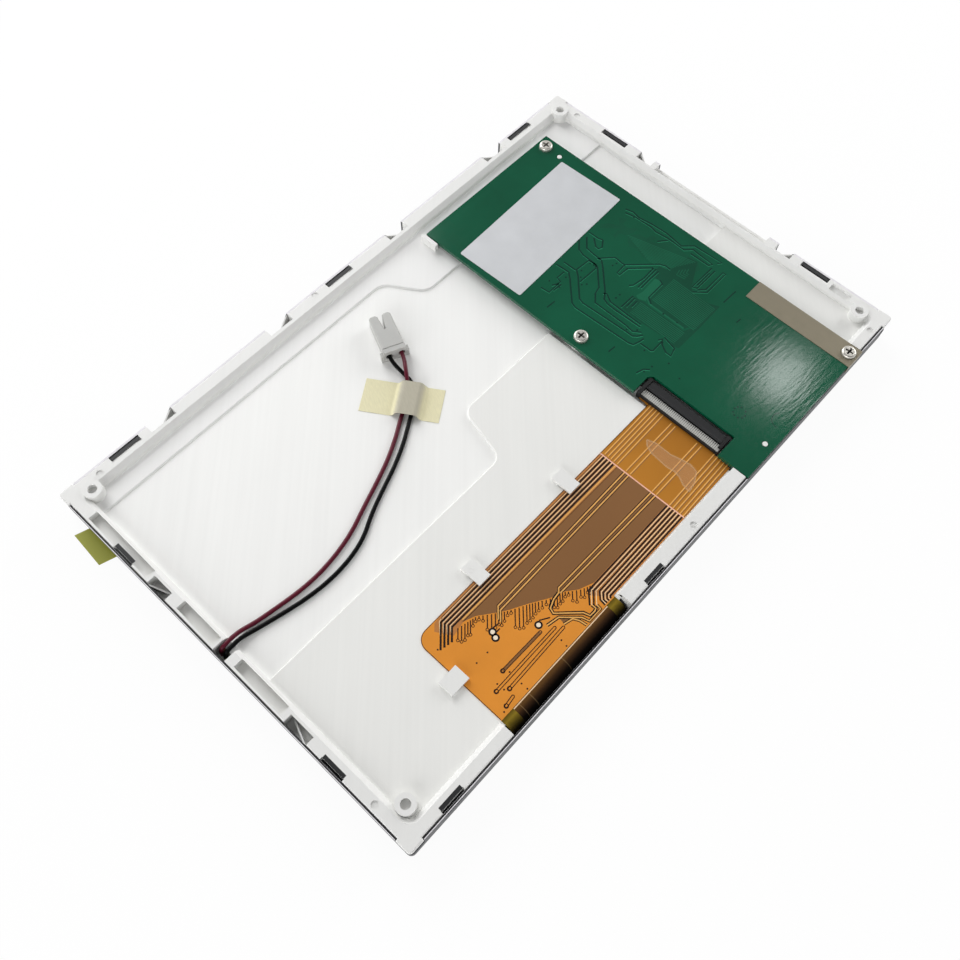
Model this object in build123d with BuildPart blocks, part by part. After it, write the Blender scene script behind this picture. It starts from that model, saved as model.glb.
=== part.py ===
from build123d import *
import math
import os

os.makedirs("parts", exist_ok=True)

# Seven inch display module, lying on its front with its back up.
# X runs along the long side, Y along the short side, Z out of the back.
# The origin is the middle of the outline, on the surface that the module lies on.

# Outline of the module
module_x = 170.0
module_y = 110.0
module_t = 8.0
right_x = module_x / 2
top_y = module_y / 2
left_x = -right_x
bottom_y = -top_y
span_x = module_x / 170.0
span_y = module_y / 110.0
film_tab_t = 0.1
front_z = film_tab_t
rim_z = front_z + module_t

# Front bezel, formed from steel sheet
steel_t = 0.5
bezel_corner_r = 1.2
bezel_front_r = 0.4
drawn_wall_h = 3.6
corner_relief = 4.0
wall_drop = 0.3
notch_wall_drop = 4.3
cable_wall_drop = 2.4

# Active picture area and the window round it
active_x = module_x - 17.6
active_y = module_y - 18.56
active_dy = 1.6
window_margin = 0.6
window_r = 0.6

# Layers, from the front to the back
gasket_t = 0.1
polarizer_t = 0.2
glass_t = 0.5
panel_shelf_t = 0.7
film_sheet_t = 0.2
guide_t = 1.2
reflector_t = 0.2
back_wall_t = 0.8
gasket_z = front_z + steel_t
front_polarizer_z = gasket_z + gasket_t
filter_glass_z = front_polarizer_z + polarizer_t
array_glass_z = filter_glass_z + glass_t
rear_polarizer_z = array_glass_z + glass_t
panel_shelf_z = rear_polarizer_z
prism_z = panel_shelf_z + panel_shelf_t
guide_z = prism_z + 3 * film_sheet_t
reflector_z = guide_z + guide_t
back_z = reflector_z + reflector_t
floor_z = back_z + back_wall_t
shelf_z = floor_z + 0.95
upper_shelf_z = floor_z + 0.5

# Panel sizes round the active area
polarizer_border = 1.5
filter_border_x = 2.8
filter_border_y = 2.7
source_ledge = 5.5
gate_ledge = 2.5
protective_film_t = 0.05
window_inset = 0.2

# Rear chassis, one white moulding
side_clear = 0.1
chassis_wall = 1.2
chassis_corner_r = 0.8
chassis_edge_r = 0.3
chassis_front_z = gasket_z + 0.1
tray_left = left_x + 4.4
tray_right = right_x - 4.2
tray_bottom = bottom_y + 4.3
tray_top = top_y - 4.7
tray_corner_r = 1.5
rim_slope = 1.1
corner_block = 3.85
corner_block_z = front_z + drawn_wall_h + 0.1
corner_block_r = 0.9
step_edge = 0.25

# Crimped tabs of the bezel and their pockets: middle along the side and width
tab_thick = 0.35
tab_reach = 1.1
tab_fall = 1.4
tab_bridge = 0.5
tab_play = 0.15
pocket_depth = 2.3
near_pocket = 1.25
far_pocket = 2.4
tabs = {
    "right": [(top_y - 22.1, 8.0), (bottom_y + 22.0, 8.0)],
    "top": [(left_x + 17.5, 8.0), (-0.5, 8.0), (right_x - 17.7, 8.0)],
    "left": [(top_y - 22.0, 6.0), (bottom_y + 22.4, 6.0)],
    "bottom": [(left_x + 12.9, 6.0), (-8.5, 5.7)],
}

# Notches in the rim: the end with the bezel's slanted tab, then the open end
notch_reach = 2.7
notch_drop = 3.2
slant_t = 0.35
slant_fall = 1.7
slant_play = 0.2
notches = {
    "right": [(top_y - 30.5, top_y - 35.4), (bottom_y + 29.2, bottom_y + 34.0)],
    "top": [
        (left_x + 31.5, left_x + 24.3),
        (-17.1, -24.1),
        (16.5, 22.8),
        (right_x - 31.8, right_x - 24.5),
    ],
    "left": [(top_y - 30.6, top_y - 36.4), (bottom_y + 29.5, bottom_y + 36.2)],
}
slant_share = {"right": 0.8, "top": 0.7, "left": 0.88}

# Long lightening pockets in the rim: start, end, near edge, far edge and depth
rim_pockets = {
    "right": [
        (bottom_y + 37.0, top_y - 37.0, 1.3, 2.9, 1.6),
        (bottom_y + 11.0, bottom_y + 16.6, 1.4, 3.4, 0.7),
    ],
    "left": [
        (top_y - 29.8, top_y - 9.5, 1.2, 3.5, 1.9),
        (3.6, top_y - 39.6, 1.2, 3.5, 1.9),
        (bottom_y + 37.6, -3.0, 1.2, 3.5, 1.9),
    ],
}
cable_lip_drop = 1.5

# Corner bosses, by which the module is fixed
boss_left = left_x + 6.1
boss_right = right_x - 4.3
boss_bottom = bottom_y + 7.1
boss_top = top_y - 4.7
boss_r = 2.2
boss_hole_r = 1.1
boss_stand = 0.6
boss_hole_depth = 3.2

# Ejector marks on the rim
mark_r = 0.85
mark_depth = 0.3
marks = [
    (left_x + 9.7, top_y - 2.4),
    (right_x - 2.1, top_y - 9.2),
    (right_x - 7.1, bottom_y + 2.0),
    (left_x + 2.0, bottom_y + 11.4),
    (6.5, bottom_y + 2.1),
    (-8.6, top_y - 1.4),
]

# Controller board
board_right = right_x - 13.9
board_left = board_right - 46.8
board_bottom = bottom_y + 0.1
board_top = top_y - 8.0
board_t = 1.0
board_z = rim_z - board_t
board_screw_places = [
    (board_right - 3.1, board_top - 2.6),
    (board_left + 3.0, -2.5),
    (board_right - 2.65, board_bottom + 2.1),
]
board_hole_places = [(board_right - 3.2, board_top - 7.6), (board_left + 9.8, board_bottom + 2.3)]
board_screw_hole_r = 1.1
board_hole_r = 0.75
board_pin_r = board_hole_r - 0.12
board_post_r = 2.6
board_seat_play = 0.2
notch_depth_x = 6.4
notch_bottom = board_bottom + 8.5
notch_top = board_bottom + 33.4
notch_corner = 1.0

# Shelf along the upper side and plateau along the lower side of the tray
shelf_y = tray_top - 4.9
shelf_low_y = tray_top - 14.9
shelf_bend_x = board_left - 18.1
shelf_low_x = board_left - 11.7
shelf_bend_r = 4.5
plateau_y = notch_top + 26.3
plateau_low_y = notch_top + 11.7
plateau_bend_x = board_left - 30.7
plateau_low_x = board_left - 34.2
plateau_bend_r = 3.2
plateau_end_x = board_left - 0.5
side_shelf_x = board_right + 0.8
side_shelf_y = -6.85

# Slot where the leads leave the light source
lead_slot_low = -0.7
lead_slot_high = 3.0
lead_slot_reach = 2.0
lead_slot_drop = 2.0

# Pan head screws, M2
screw_r = 1.0
screw_length = 2.6
screw_head_r = 1.8
screw_head_h = 0.9
screw_head_edge = 0.5
screw_pilot_r = 1.05
cross_w = 0.5
cross_l = 2.1
cross_depth = 0.7

# Locating rib beside the board's corner
rib_x = board_left - 0.9
rib_t = 1.0
rib_low = board_top - 4.4
rib_high = board_top + 0.6

# Flexible circuit of the panel
flex_t = 0.12
flex_left = board_left - 78.4
flex_top = notch_top - 4.4
flex_bottom = bottom_y + 4.8
flex_corner_r = 3.0
fold_left = flex_left + 0.1
fold_right = flex_left + 36.3
fold_y = bottom_y + 1.05
fold_bend_r = 2.3
bond_bend_r = 0.8
bond_y = bottom_y + 5.4
fold_notch_play = 0.7
tail_top = notch_top - 1.7
tail_bottom = notch_bottom + 1.4
stiffener_t = 0.15

# Clips that hold the flex down: corners of each finger, low and high
clip_post = 1.9
clip_finger_t = 0.7
clip_gap = 0.25
clips_over_top = [(flex_left + 48.0, flex_left + 51.4), (flex_left + 18.0, flex_left + 21.4)]
clip_outer_y = flex_top + 3.7
clip_inner_y = flex_top - 1.9
clip_side_low = flex_top - 14.0
clip_side_high = flex_top - 10.0
clip_side_outer_x = flex_left - 3.3
clip_side_inner_x = flex_left + 1.8

# Flex connector in the board's notch
contact_pitch = 0.5
contact_count = 44
contact_w = 0.3
contact_t = 0.2
conn_left = board_left + 0.5
conn_right = board_left + 5.8
conn_bottom = notch_bottom + 0.5
conn_top = notch_top - 0.6
conn_z = 5.75
conn_top_z = 7.95
conn_deck_z = 7.05
conn_mouth_h = 0.42
conn_mouth_depth = 3.6
conn_bar_left = conn_left + 0.5
conn_comb_left = conn_left + 1.7
conn_comb_right = conn_left + 2.3
conn_ear = 0.9
conn_ear_t = 0.25

# Flip lock of the flex connector
lock_axis_x = conn_left + 2.9
lock_axis_z = conn_deck_z + 0.42
lock_right = conn_left + 4.9
lock_t = 0.62
lock_bottom = conn_bottom + 1.0
lock_top = conn_top - 1.0
lock_pin_r = 0.25
lock_pin_play = 0.05
lock_pin_l = 0.5
lock_nose_r = 0.36
solder_tab = (0.9, 0.75, 0.25)

# Parts on the under side of the board
chip_size = 14.0
chip_t = 0.95
chip_place = (board_left + 24.7, -9.0)
lead_rows = 16
lead_pitch = 0.8
supply_chip_place = (board_left + 11.7, board_top - 22.0)
supply_chip_size = (5.0, 4.4, 1.0)
inductor_place = (board_left + 20.2, board_top - 21.0)
inductor_size = (5.0, 5.0, 1.2)
capacitor_size = (2.0, 1.25, 0.85)
capacitor_place = (board_left + 22.7, 8.0)
capacitor_gap = 3.0
host_x = board_right - 2.5
host_w = 30.0
host_d = 4.6
host_t = 1.3
host_pitch = 1.25
host_count = 20
host_slot_h = 0.7

# Ground strap over the board's lower right corner
strap_left = board_right - 6.0
strap_top = board_bottom + 30.3
strap_t = 0.15
strap_fold_h = 2.4
strap_hole_r = 1.3

# Board label
label_l = 41.3
label_w = 19.8
label_t = 0.1
label_place = (board_left + 22.3, board_top - 19.85)
label_turn = 1.9

# Light source on the left short side
led_count = 18
led_pitch = (active_y + 2.16) / led_count
led_l = 3.0
led_d = 1.1
led_h = 1.0
led_board_t = 0.2
led_wall_play = 0.1
guide_left = left_x + 3.4
guide_right = right_x - 5.0
guide_border_y = 3.4

# Two-way plug of the backlight leads, lying on the tray floor
plug_place = (-6.89 * span_x, 27.11 * span_y)
plug_turn = -24.2
plug_l = 11.3
plug_w = 5.7
plug_tip_w = 5.5
plug_h = 3.8
plug_flange_w = 7.1
plug_flange_l = 1.2
plug_flange_h = 2.6
plug_slot_w = 1.3
plug_slot_end_w = 0.35
plug_slot_l = 4.4
plug_pitch = 3.2
plug_lead_h = 1.9
plug_bore_r = 0.85
plug_chamfer = 0.3
plug_tip_chamfer = 0.45
terminal_r = 0.7
terminal_l = 8.0
terminal_start = 1.0

# Leads
lead_d = 1.2
lead_floor_z = floor_z + lead_d / 2
plug_lead_z = floor_z + plug_lead_h

# Tape over the leads
tape_place = (-14.2 * span_x, 17.7 * span_y)
tape_turn = -56.9
tape_l = 19.2
tape_w = 9.0
tape_t = 0.15
hump_left = -0.4
hump_right = 4.0
hump_h = 1.95
hump_slope = 1.3
hump_bend_r = 1.0

# Pull tab of the protective film
pull_out = 4.0
pull_skew = 0.6
pull_in = 6.0
pull_low = top_y - 15.6
pull_high = top_y - 5.6
pull_slant = 0.31

# Values worked out from those above
half_x = right_x
half_y = top_y
chassis_x = half_x - steel_t - side_clear
chassis_y = half_y - steel_t - side_clear
window_x = active_x + 2 * window_margin
window_y = active_y + 2 * window_margin
filter_x = active_x + 2 * filter_border_x
filter_y = active_y + 2 * filter_border_y
board_notch_right = board_left + notch_depth_x
wall_top = rim_z - wall_drop


def side_frame(side):
    """Middle of the module's face on one side, the way inwards and the way along it."""
    if side == "right":
        return (half_x, 0), (-1, 0), (0, 1)
    if side == "left":
        return (-half_x, 0), (1, 0), (0, 1)
    if side == "top":
        return (0, half_y), (0, -1), (1, 0)
    return (0, -half_y), (0, 1), (1, 0)


def side_point(side, along, inwards):
    """Point of the plan, from a place along one side and a distance inwards from its face."""
    (x, y), (in_x, in_y), (run_x, run_y) = side_frame(side)
    return (x + inwards * in_x + along * run_x, y + inwards * in_y + along * run_y)


def side_box(side, start, end, near, far, low, high, mode=Mode.ADD):
    """Box along one side, from near to far inwards of the module's face."""
    x0, y0 = side_point(side, start, near)
    x1, y1 = side_point(side, end, far)
    with Locations(((x0 + x1) / 2, (y0 + y1) / 2, (low + high) / 2)):
        Box(abs(x1 - x0), abs(y1 - y0), high - low, mode=mode)


def block(x0, x1, y0, y1, z0, z1, mode=Mode.ADD):
    """Box from its lowest to its highest corner."""
    with Locations(((x0 + x1) / 2, (y0 + y1) / 2, (z0 + z1) / 2)):
        Box(x1 - x0, y1 - y0, z1 - z0, mode=mode)


def sheet(width, height, thickness, z, middle, corner=0.0):
    """Flat sheet with its lower face at z."""
    with BuildSketch(Plane.XY.offset(z)) as outline:
        with Locations(middle):
            if corner > 0:
                RectangleRounded(width, height, corner)
            else:
                Rectangle(width, height)
    extrude(outline.sketch, amount=thickness)


def crimped_tab(side, middle, width):
    """Strip lanced from the top of the wall and bent down into the rim's pocket."""
    _, inwards, _ = side_frame(side)
    x, y = side_point(side, middle, 0)
    way_in = Vector(inwards[0], inwards[1], 0)
    profile = Plane(origin=(x, y, wall_top), x_dir=way_in, z_dir=way_in.cross(Vector(0, 0, 1)))
    with BuildSketch(profile) as section:
        with BuildLine():
            Polyline(
                (0.1, -0.05),
                (steel_t, 0),
                (tab_reach, -tab_fall + 0.25),
                (tab_reach, -tab_fall),
                (tab_reach - tab_thick, -tab_fall),
                (tab_reach - tab_thick, -tab_fall + 0.35),
                (0.1, -tab_bridge),
                close=True,
            )
        make_face()
    extrude(section.sketch, amount=width / 2, both=True)


def slanted_tab(side, carried, tip):
    """End of the wall, bent inwards across a notch of the rim and lower at its tip."""
    way = math.copysign(1, carried - tip)
    start = Vector(*side_point(side, carried + 0.3 * way, slant_t / 2 + 0.05), 0)
    run = (tip - carried) * slant_share[side]
    end = Vector(*side_point(side, carried + run, notch_reach - slant_play), 0)
    web = Plane(
        origin=start + Vector(0, 0, rim_z - notch_drop + slant_play),
        x_dir=end - start,
        z_dir=(end - start).cross(Vector(0, 0, 1)),
    )
    length = (end - start).length
    height = wall_top - (rim_z - notch_drop + slant_play)
    with BuildSketch(web) as section:
        with BuildLine():
            Polyline((0, 0), (length, 0), (length, height - slant_fall), (0, height), close=True)
        make_face()
    extrude(section.sketch, amount=slant_t / 2, both=True)


def step_edges(chassis, level, low, high):
    """Top edges of a step on the tray floor, at one level and between two distances along Y."""
    return [
        edge
        for edge in chassis.edges().filter_by_position(Axis.Z, level - 0.01, level + 0.01)
        if low < edge.center().Y < high and tray_left + 0.5 < edge.center().X < tray_right - 0.5
    ]


def bend_radii(points):
    """Radius at each inner point of a lead's route, as large as its two runs allow."""
    radii = []
    for before, here, after in zip(points, points[1:], points[2:]):
        arriving = Vector(*here) - Vector(*before)
        leaving = Vector(*after) - Vector(*here)
        half_turn = math.radians(arriving.get_angle(leaving)) / 2
        radii.append(0.45 * min(arriving.length, leaving.length) / math.tan(half_turn))
    return radii


# Front bezel: drawn corners, window, straight walls and crimped tabs
with BuildPart() as front_bezel:
    sheet(module_x, module_y, drawn_wall_h, front_z, (0, 0), bezel_corner_r)
    fillet(front_bezel.faces().sort_by(Axis.Z)[0].edges(), bezel_front_r)
    with BuildSketch(Plane.XY.offset(front_z + steel_t)):
        RectangleRounded(module_x - 2 * steel_t, module_y - 2 * steel_t, bezel_corner_r - steel_t)
    extrude(amount=drawn_wall_h, mode=Mode.SUBTRACT)
    with BuildSketch(Plane.XY.offset(front_z)):
        with Locations((0, active_dy)):
            RectangleRounded(window_x, window_y, window_r)
    extrude(amount=steel_t, mode=Mode.SUBTRACT)
    for side, reach in (("right", half_y), ("left", half_y), ("top", half_x), ("bottom", half_x)):
        run = reach - corner_relief
        side_box(side, -run, run, 0, steel_t, front_z + drawn_wall_h, wall_top)
    for side, openings in notches.items():
        for carried, tip in openings:
            low, high = sorted((carried, tip))
            if side != "left":
                side_box(side, low, high, -1, steel_t, rim_z - notch_wall_drop, rim_z, Mode.SUBTRACT)
            slanted_tab(side, carried, tip)
    for start, end, near, far, depth in rim_pockets["right"][:1]:
        side_box("right", start, end, -1, steel_t, rim_z - cable_wall_drop, rim_z, Mode.SUBTRACT)
    side_box("bottom", board_left - board_seat_play, board_right + board_seat_play, -1, steel_t,
             board_z - board_seat_play, rim_z, Mode.SUBTRACT)
    for side, places in tabs.items():
        for middle, width in places:
            side_box(side, middle - width / 2, middle + width / 2, -1, steel_t,
                     wall_top - tab_bridge - tab_fall, wall_top - tab_bridge, Mode.SUBTRACT)
            crimped_tab(side, middle, width)

# Black gasket between the bezel and the panel
with BuildPart() as window_gasket:
    sheet(active_x + 2 * polarizer_border, active_y + 2 * polarizer_border, gasket_t, gasket_z,
          (0, active_dy))
    with BuildSketch(Plane.XY.offset(gasket_z)):
        with Locations((0, active_dy)):
            RectangleRounded(window_x, window_y, window_r)
    extrude(amount=gasket_t, mode=Mode.SUBTRACT)

# Protective film inside the window
film_z = front_polarizer_z - protective_film_t
with BuildPart() as protective_film:
    sheet(window_x - 2 * window_inset, window_y - 2 * window_inset, protective_film_t, film_z,
          (0, active_dy), window_r)

# Pull tab: from the film, down over the window's edge and out under the bezel
tab_out_x = -half_x - pull_out
tab_step_x = -window_x / 2 + window_inset
tab_fall_in = pull_slant * (tab_step_x - tab_out_x)
with BuildPart() as film_pull_tab:
    with BuildSketch(Plane.XY):
        with BuildLine():
            Polyline(
                (tab_out_x, pull_low),
                (tab_out_x + pull_skew, pull_high - pull_slant * pull_skew),
                (tab_step_x, pull_high - tab_fall_in),
                (tab_step_x, pull_low - tab_fall_in),
                close=True,
            )
        make_face()
    extrude(amount=film_tab_t)
    block(tab_step_x, tab_step_x + film_tab_t, pull_low - tab_fall_in, pull_high - tab_fall_in, 0,
          film_z)
    block(tab_step_x, tab_step_x + pull_in, pull_low - tab_fall_in, pull_high - tab_fall_in,
          film_z - film_tab_t, film_z)

# Polarizers and the two glasses of the panel
with BuildPart() as front_polarizer:
    sheet(active_x + 2 * polarizer_border, active_y + 2 * polarizer_border, polarizer_t,
          front_polarizer_z, (0, active_dy))

with BuildPart() as color_filter_glass:
    sheet(filter_x, filter_y, glass_t, filter_glass_z, (0, active_dy))

array_left = -filter_x / 2 - gate_ledge
array_bottom = active_dy - filter_y / 2 - source_ledge
array_right = filter_x / 2
array_top = active_dy + filter_y / 2
with BuildPart() as array_glass:
    block(array_left, array_right, array_bottom, array_top, array_glass_z, array_glass_z + glass_t)

with BuildPart() as rear_polarizer:
    sheet(active_x + 2 * polarizer_border, active_y + 2 * polarizer_border, polarizer_t,
          rear_polarizer_z, (0, active_dy))

# Driver chips on the ledges of the array glass
chip_on_glass_t = 0.3
source_chip_l = 21.0
source_chip_w = 1.1
source_chip_xs = (-0.315 * active_x, 0.0, 0.315 * active_x)
gate_chip_l = 16.0
gate_chip_w = 1.0
gate_chip_ys = (-0.22 * active_y, 0.22 * active_y)
source_chip_y = array_bottom + source_ledge - source_chip_w
with BuildPart() as source_driver_chips:
    with Locations(*[(x, source_chip_y, array_glass_z - chip_on_glass_t / 2) for x in source_chip_xs]):
        Box(source_chip_l, source_chip_w, chip_on_glass_t)

with BuildPart() as gate_driver_chips:
    gate_chip_x = array_left + gate_ledge / 2
    with Locations(*[(gate_chip_x, y, array_glass_z - chip_on_glass_t / 2) for y in gate_chip_ys]):
        Box(gate_chip_w, gate_chip_l, chip_on_glass_t)

# Middle frame: a wall round the glass and a shelf that the glass lies on
frame_x = chassis_x - chassis_wall - side_clear
frame_y = chassis_y - chassis_wall - side_clear
glass_play = 0.2
shelf_lap = 1.0
with BuildPart() as middle_frame:
    block(-frame_x, frame_x, -frame_y, frame_y, chassis_front_z, prism_z)
    block(array_left - glass_play, array_right + glass_play, array_bottom - glass_play,
          array_top + glass_play, chassis_front_z, panel_shelf_z, Mode.SUBTRACT)
    with BuildSketch(Plane.XY.offset(panel_shelf_z)):
        with Locations((0, active_dy)):
            RectangleRounded(active_x + 2 * polarizer_border + 0.4,
                             active_y + 2 * polarizer_border + 0.4, window_r)
    extrude(amount=panel_shelf_t, mode=Mode.SUBTRACT)
    block(fold_left - fold_notch_play, fold_right + fold_notch_play, -frame_y - 1,
          array_bottom, chassis_front_z, panel_shelf_z, Mode.SUBTRACT)

# Optical sheets, light guide and reflector
sheet_x = active_x + 2 * filter_border_x
sheet_y = active_y + 2 * filter_border_y
with BuildPart() as upper_prism_sheet:
    sheet(sheet_x, sheet_y, film_sheet_t, prism_z, (0, active_dy))

with BuildPart() as lower_prism_sheet:
    sheet(sheet_x, sheet_y, film_sheet_t, prism_z + film_sheet_t, (0, active_dy))

with BuildPart() as diffuser_sheet:
    sheet(sheet_x, sheet_y, film_sheet_t, prism_z + 2 * film_sheet_t, (0, active_dy))

guide_w = guide_right - guide_left
guide_middle = ((guide_left + guide_right) / 2, active_dy)
with BuildPart() as light_guide:
    sheet(guide_w, active_y + 2 * guide_border_y, guide_t, guide_z, guide_middle)

with BuildPart() as reflector_sheet:
    sheet(guide_w, active_y + 2 * guide_border_y, reflector_t, reflector_z, guide_middle)

# Strip with its light sources on the left short side, and the tail that the leads are soldered to
strip_x = -(chassis_x - chassis_wall) + led_wall_play
strip_half = led_count * led_pitch / 2
strip_low_z = guide_z
strip_high_z = guide_z + guide_t
with BuildPart() as led_strip:
    block(strip_x, strip_x + led_board_t, active_dy - strip_half, active_dy + strip_half,
          strip_low_z, strip_high_z)
    block(-chassis_x, strip_x + led_board_t, lead_slot_low, lead_slot_high,
          strip_high_z - led_board_t, strip_high_z)

with BuildPart() as backlight_leds:
    led_x = strip_x + led_board_t + led_d / 2
    with Locations((led_x, active_dy, guide_z + guide_t / 2)):
        with GridLocations(led_d, led_pitch, 1, led_count):
            Box(led_d, led_l, led_h)

# Rear chassis: block, tray, front recess, shelves, rim features, bosses, posts and clips
bosses = [(x, y) for x in (boss_left, boss_right) for y in (boss_bottom, boss_top)]
with BuildPart() as rear_chassis:
    sheet(2 * chassis_x, 2 * chassis_y, rim_z - chassis_front_z, chassis_front_z, (0, 0),
          chassis_corner_r)
    for side_x in (-1, 1):
        for side_y in (-1, 1):
            with BuildSketch(Plane.XY.offset(corner_block_z)) as block_outline:
                with Locations((side_x * (half_x - corner_block / 2), side_y * (half_y - corner_block / 2))):
                    Rectangle(corner_block, corner_block)
                outer = block_outline.vertices().sort_by_distance((side_x * half_x, side_y * half_y))[0]
                fillet(outer, corner_block_r)
            extrude(block_outline.sketch, amount=rim_z - corner_block_z)
    fillet(rear_chassis.faces().sort_by(Axis.Z)[-1].edges(), chassis_edge_r)
    with BuildSketch(Plane.XY.offset(floor_z)):
        with Locations(((tray_left + tray_right) / 2, (tray_bottom + tray_top) / 2)):
            RectangleRounded(tray_right - tray_left, tray_top - tray_bottom, tray_corner_r)
    extrude(amount=rim_z - floor_z, mode=Mode.SUBTRACT)
    rim_edges = rear_chassis.faces().sort_by(Axis.Z)[-1].inner_wires()[0].edges()
    chamfer([rim_edges.sort_by(Axis.X)[0], rim_edges.sort_by(Axis.Y)[0]], rim_slope)
    block(-(chassis_x - chassis_wall), chassis_x - chassis_wall, -(chassis_y - chassis_wall),
          chassis_y - chassis_wall, chassis_front_z, back_z, Mode.SUBTRACT)

    # shelf along the top side, with its S-shaped step
    with BuildSketch(Plane.XY.offset(floor_z)):
        with BuildLine():
            shelf_line = FilletPolyline(
                (tray_left, shelf_y),
                (shelf_bend_x, shelf_y),
                (shelf_low_x, shelf_low_y),
                (tray_right, shelf_low_y),
                radius=shelf_bend_r,
            )
            Polyline(shelf_line @ 1, (tray_right, tray_top), (tray_left, tray_top), shelf_line @ 0)
        make_face()
    extrude(amount=upper_shelf_z - floor_z)
    chamfer(step_edges(rear_chassis, upper_shelf_z, -half_y, shelf_y + 0.1), step_edge)

    # plateau along the bottom side, and its part beyond the board
    with BuildSketch(Plane.XY.offset(floor_z)):
        with BuildLine():
            plateau_line = FilletPolyline(
                (tray_left, plateau_low_y),
                (plateau_low_x, plateau_low_y),
                (plateau_bend_x, plateau_y),
                (plateau_end_x, plateau_y),
                radius=plateau_bend_r,
            )
            Polyline(
                plateau_line @ 1, (plateau_end_x, tray_bottom), (tray_left, tray_bottom), plateau_line @ 0
            )
        make_face()
    extrude(amount=shelf_z - floor_z)
    chamfer(step_edges(rear_chassis, shelf_z, plateau_low_y - 0.1, half_y), step_edge)
    block(side_shelf_x, tray_right, tray_bottom, side_shelf_y, floor_z, shelf_z)

    # pockets for the crimped tabs
    for side, places in tabs.items():
        reach = far_pocket if side in ("right", "top") else near_pocket
        for middle, width in places:
            side_box(side, middle - width / 2 - tab_play, middle + width / 2 + tab_play, 0, reach,
                     rim_z - pocket_depth, rim_z, Mode.SUBTRACT)

    # long pockets, with a lower outer lip where the host cable passes
    for side, places in rim_pockets.items():
        for start, end, near, far, depth in places:
            side_box(side, start, end, near, far, rim_z - depth, rim_z, Mode.SUBTRACT)
    for start, end, near, far, depth in rim_pockets["right"][:1]:
        side_box("right", start, end, 0, near, rim_z - cable_lip_drop, rim_z, Mode.SUBTRACT)

    # notches for the slanted tabs of the bezel
    for side, openings in notches.items():
        for carried, tip in openings:
            low, high = sorted((carried, tip))
            side_box(side, low, high, 0, notch_reach, rim_z - notch_drop, rim_z, Mode.SUBTRACT)

    # gap in the rim where the flex folds over the edge
    block(fold_left - fold_notch_play, fold_right + fold_notch_play, -half_y,
          fold_y + fold_bend_r, chassis_front_z, rim_z, Mode.SUBTRACT)
    block(fold_left - fold_notch_play, fold_right + fold_notch_play, fold_y + fold_bend_r,
          tray_bottom + rim_slope, shelf_z, rim_z, Mode.SUBTRACT)

    # lowered rim under the board's lower edge
    block(board_left - board_seat_play, board_right + board_seat_play, -half_y, tray_bottom,
          board_z, rim_z, Mode.SUBTRACT)

    # slot and hole for the leads
    block(-half_x, tray_left + rim_slope, lead_slot_low, lead_slot_high, rim_z - lead_slot_drop,
          rim_z, Mode.SUBTRACT)
    block(-half_x, -chassis_x + lead_slot_reach, lead_slot_low, lead_slot_high,
          strip_high_z - led_board_t, rim_z, Mode.SUBTRACT)

    # corner bosses and the posts under the board
    with BuildSketch(Plane.XY.offset(floor_z)):
        with Locations(*bosses):
            Circle(boss_r)
    extrude(amount=rim_z + boss_stand - floor_z)
    with BuildSketch(Plane.XY.offset(floor_z)):
        with Locations(*board_screw_places[:2]):
            Circle(board_post_r)
    extrude(amount=board_z - floor_z)
    with BuildSketch(Plane.XY.offset(floor_z)):
        with Locations(*board_hole_places):
            Circle(board_pin_r)
    extrude(amount=rim_z - floor_z)
    with BuildSketch(Plane.XY.offset(rim_z + boss_stand)):
        with Locations(*bosses):
            Circle(boss_hole_r)
    extrude(amount=-boss_hole_depth, mode=Mode.SUBTRACT)
    with BuildSketch(Plane.XY.offset(board_z)):
        with Locations(*board_screw_places):
            Circle(screw_pilot_r)
    extrude(amount=floor_z - board_z, mode=Mode.SUBTRACT)

    # ejector marks and the rib beside the board
    with BuildSketch(Plane.XY.offset(rim_z)):
        with Locations(*marks):
            Circle(mark_r)
    extrude(amount=-mark_depth, mode=Mode.SUBTRACT)
    block(rib_x - rib_t / 2, rib_x + rib_t / 2, rib_low, rib_high, floor_z, rim_z)

    # clips over the flex: a post outside its edge and a finger over it
    finger_z = shelf_z + flex_t + clip_gap
    for low, high in clips_over_top:
        block(low, high, clip_outer_y - clip_post, clip_outer_y, shelf_z, finger_z + clip_finger_t)
        block(low, high, clip_inner_y, clip_outer_y, finger_z, finger_z + clip_finger_t)
    block(clip_side_outer_x, clip_side_outer_x + clip_post, clip_side_low, clip_side_high, shelf_z,
          finger_z + clip_finger_t)
    block(clip_side_outer_x, clip_side_inner_x, clip_side_low, clip_side_high, finger_z,
          finger_z + clip_finger_t)

# Controller board
with BuildPart() as controller_board:
    with BuildSketch(Plane.XY.offset(board_z)):
        with BuildLine():
            Polyline(
                (board_left, board_bottom),
                (board_right, board_bottom),
                (board_right, board_top),
                (board_left, board_top),
                (board_left, notch_top),
                (board_notch_right - notch_corner, notch_top),
                (board_notch_right, notch_top - notch_corner),
                (board_notch_right, notch_bottom),
                (board_left, notch_bottom),
                close=True,
            )
        make_face()
        with Locations(*board_screw_places):
            Circle(board_screw_hole_r, mode=Mode.SUBTRACT)
        with Locations(*board_hole_places):
            Circle(board_hole_r, mode=Mode.SUBTRACT)
    extrude(amount=board_t)

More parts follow.
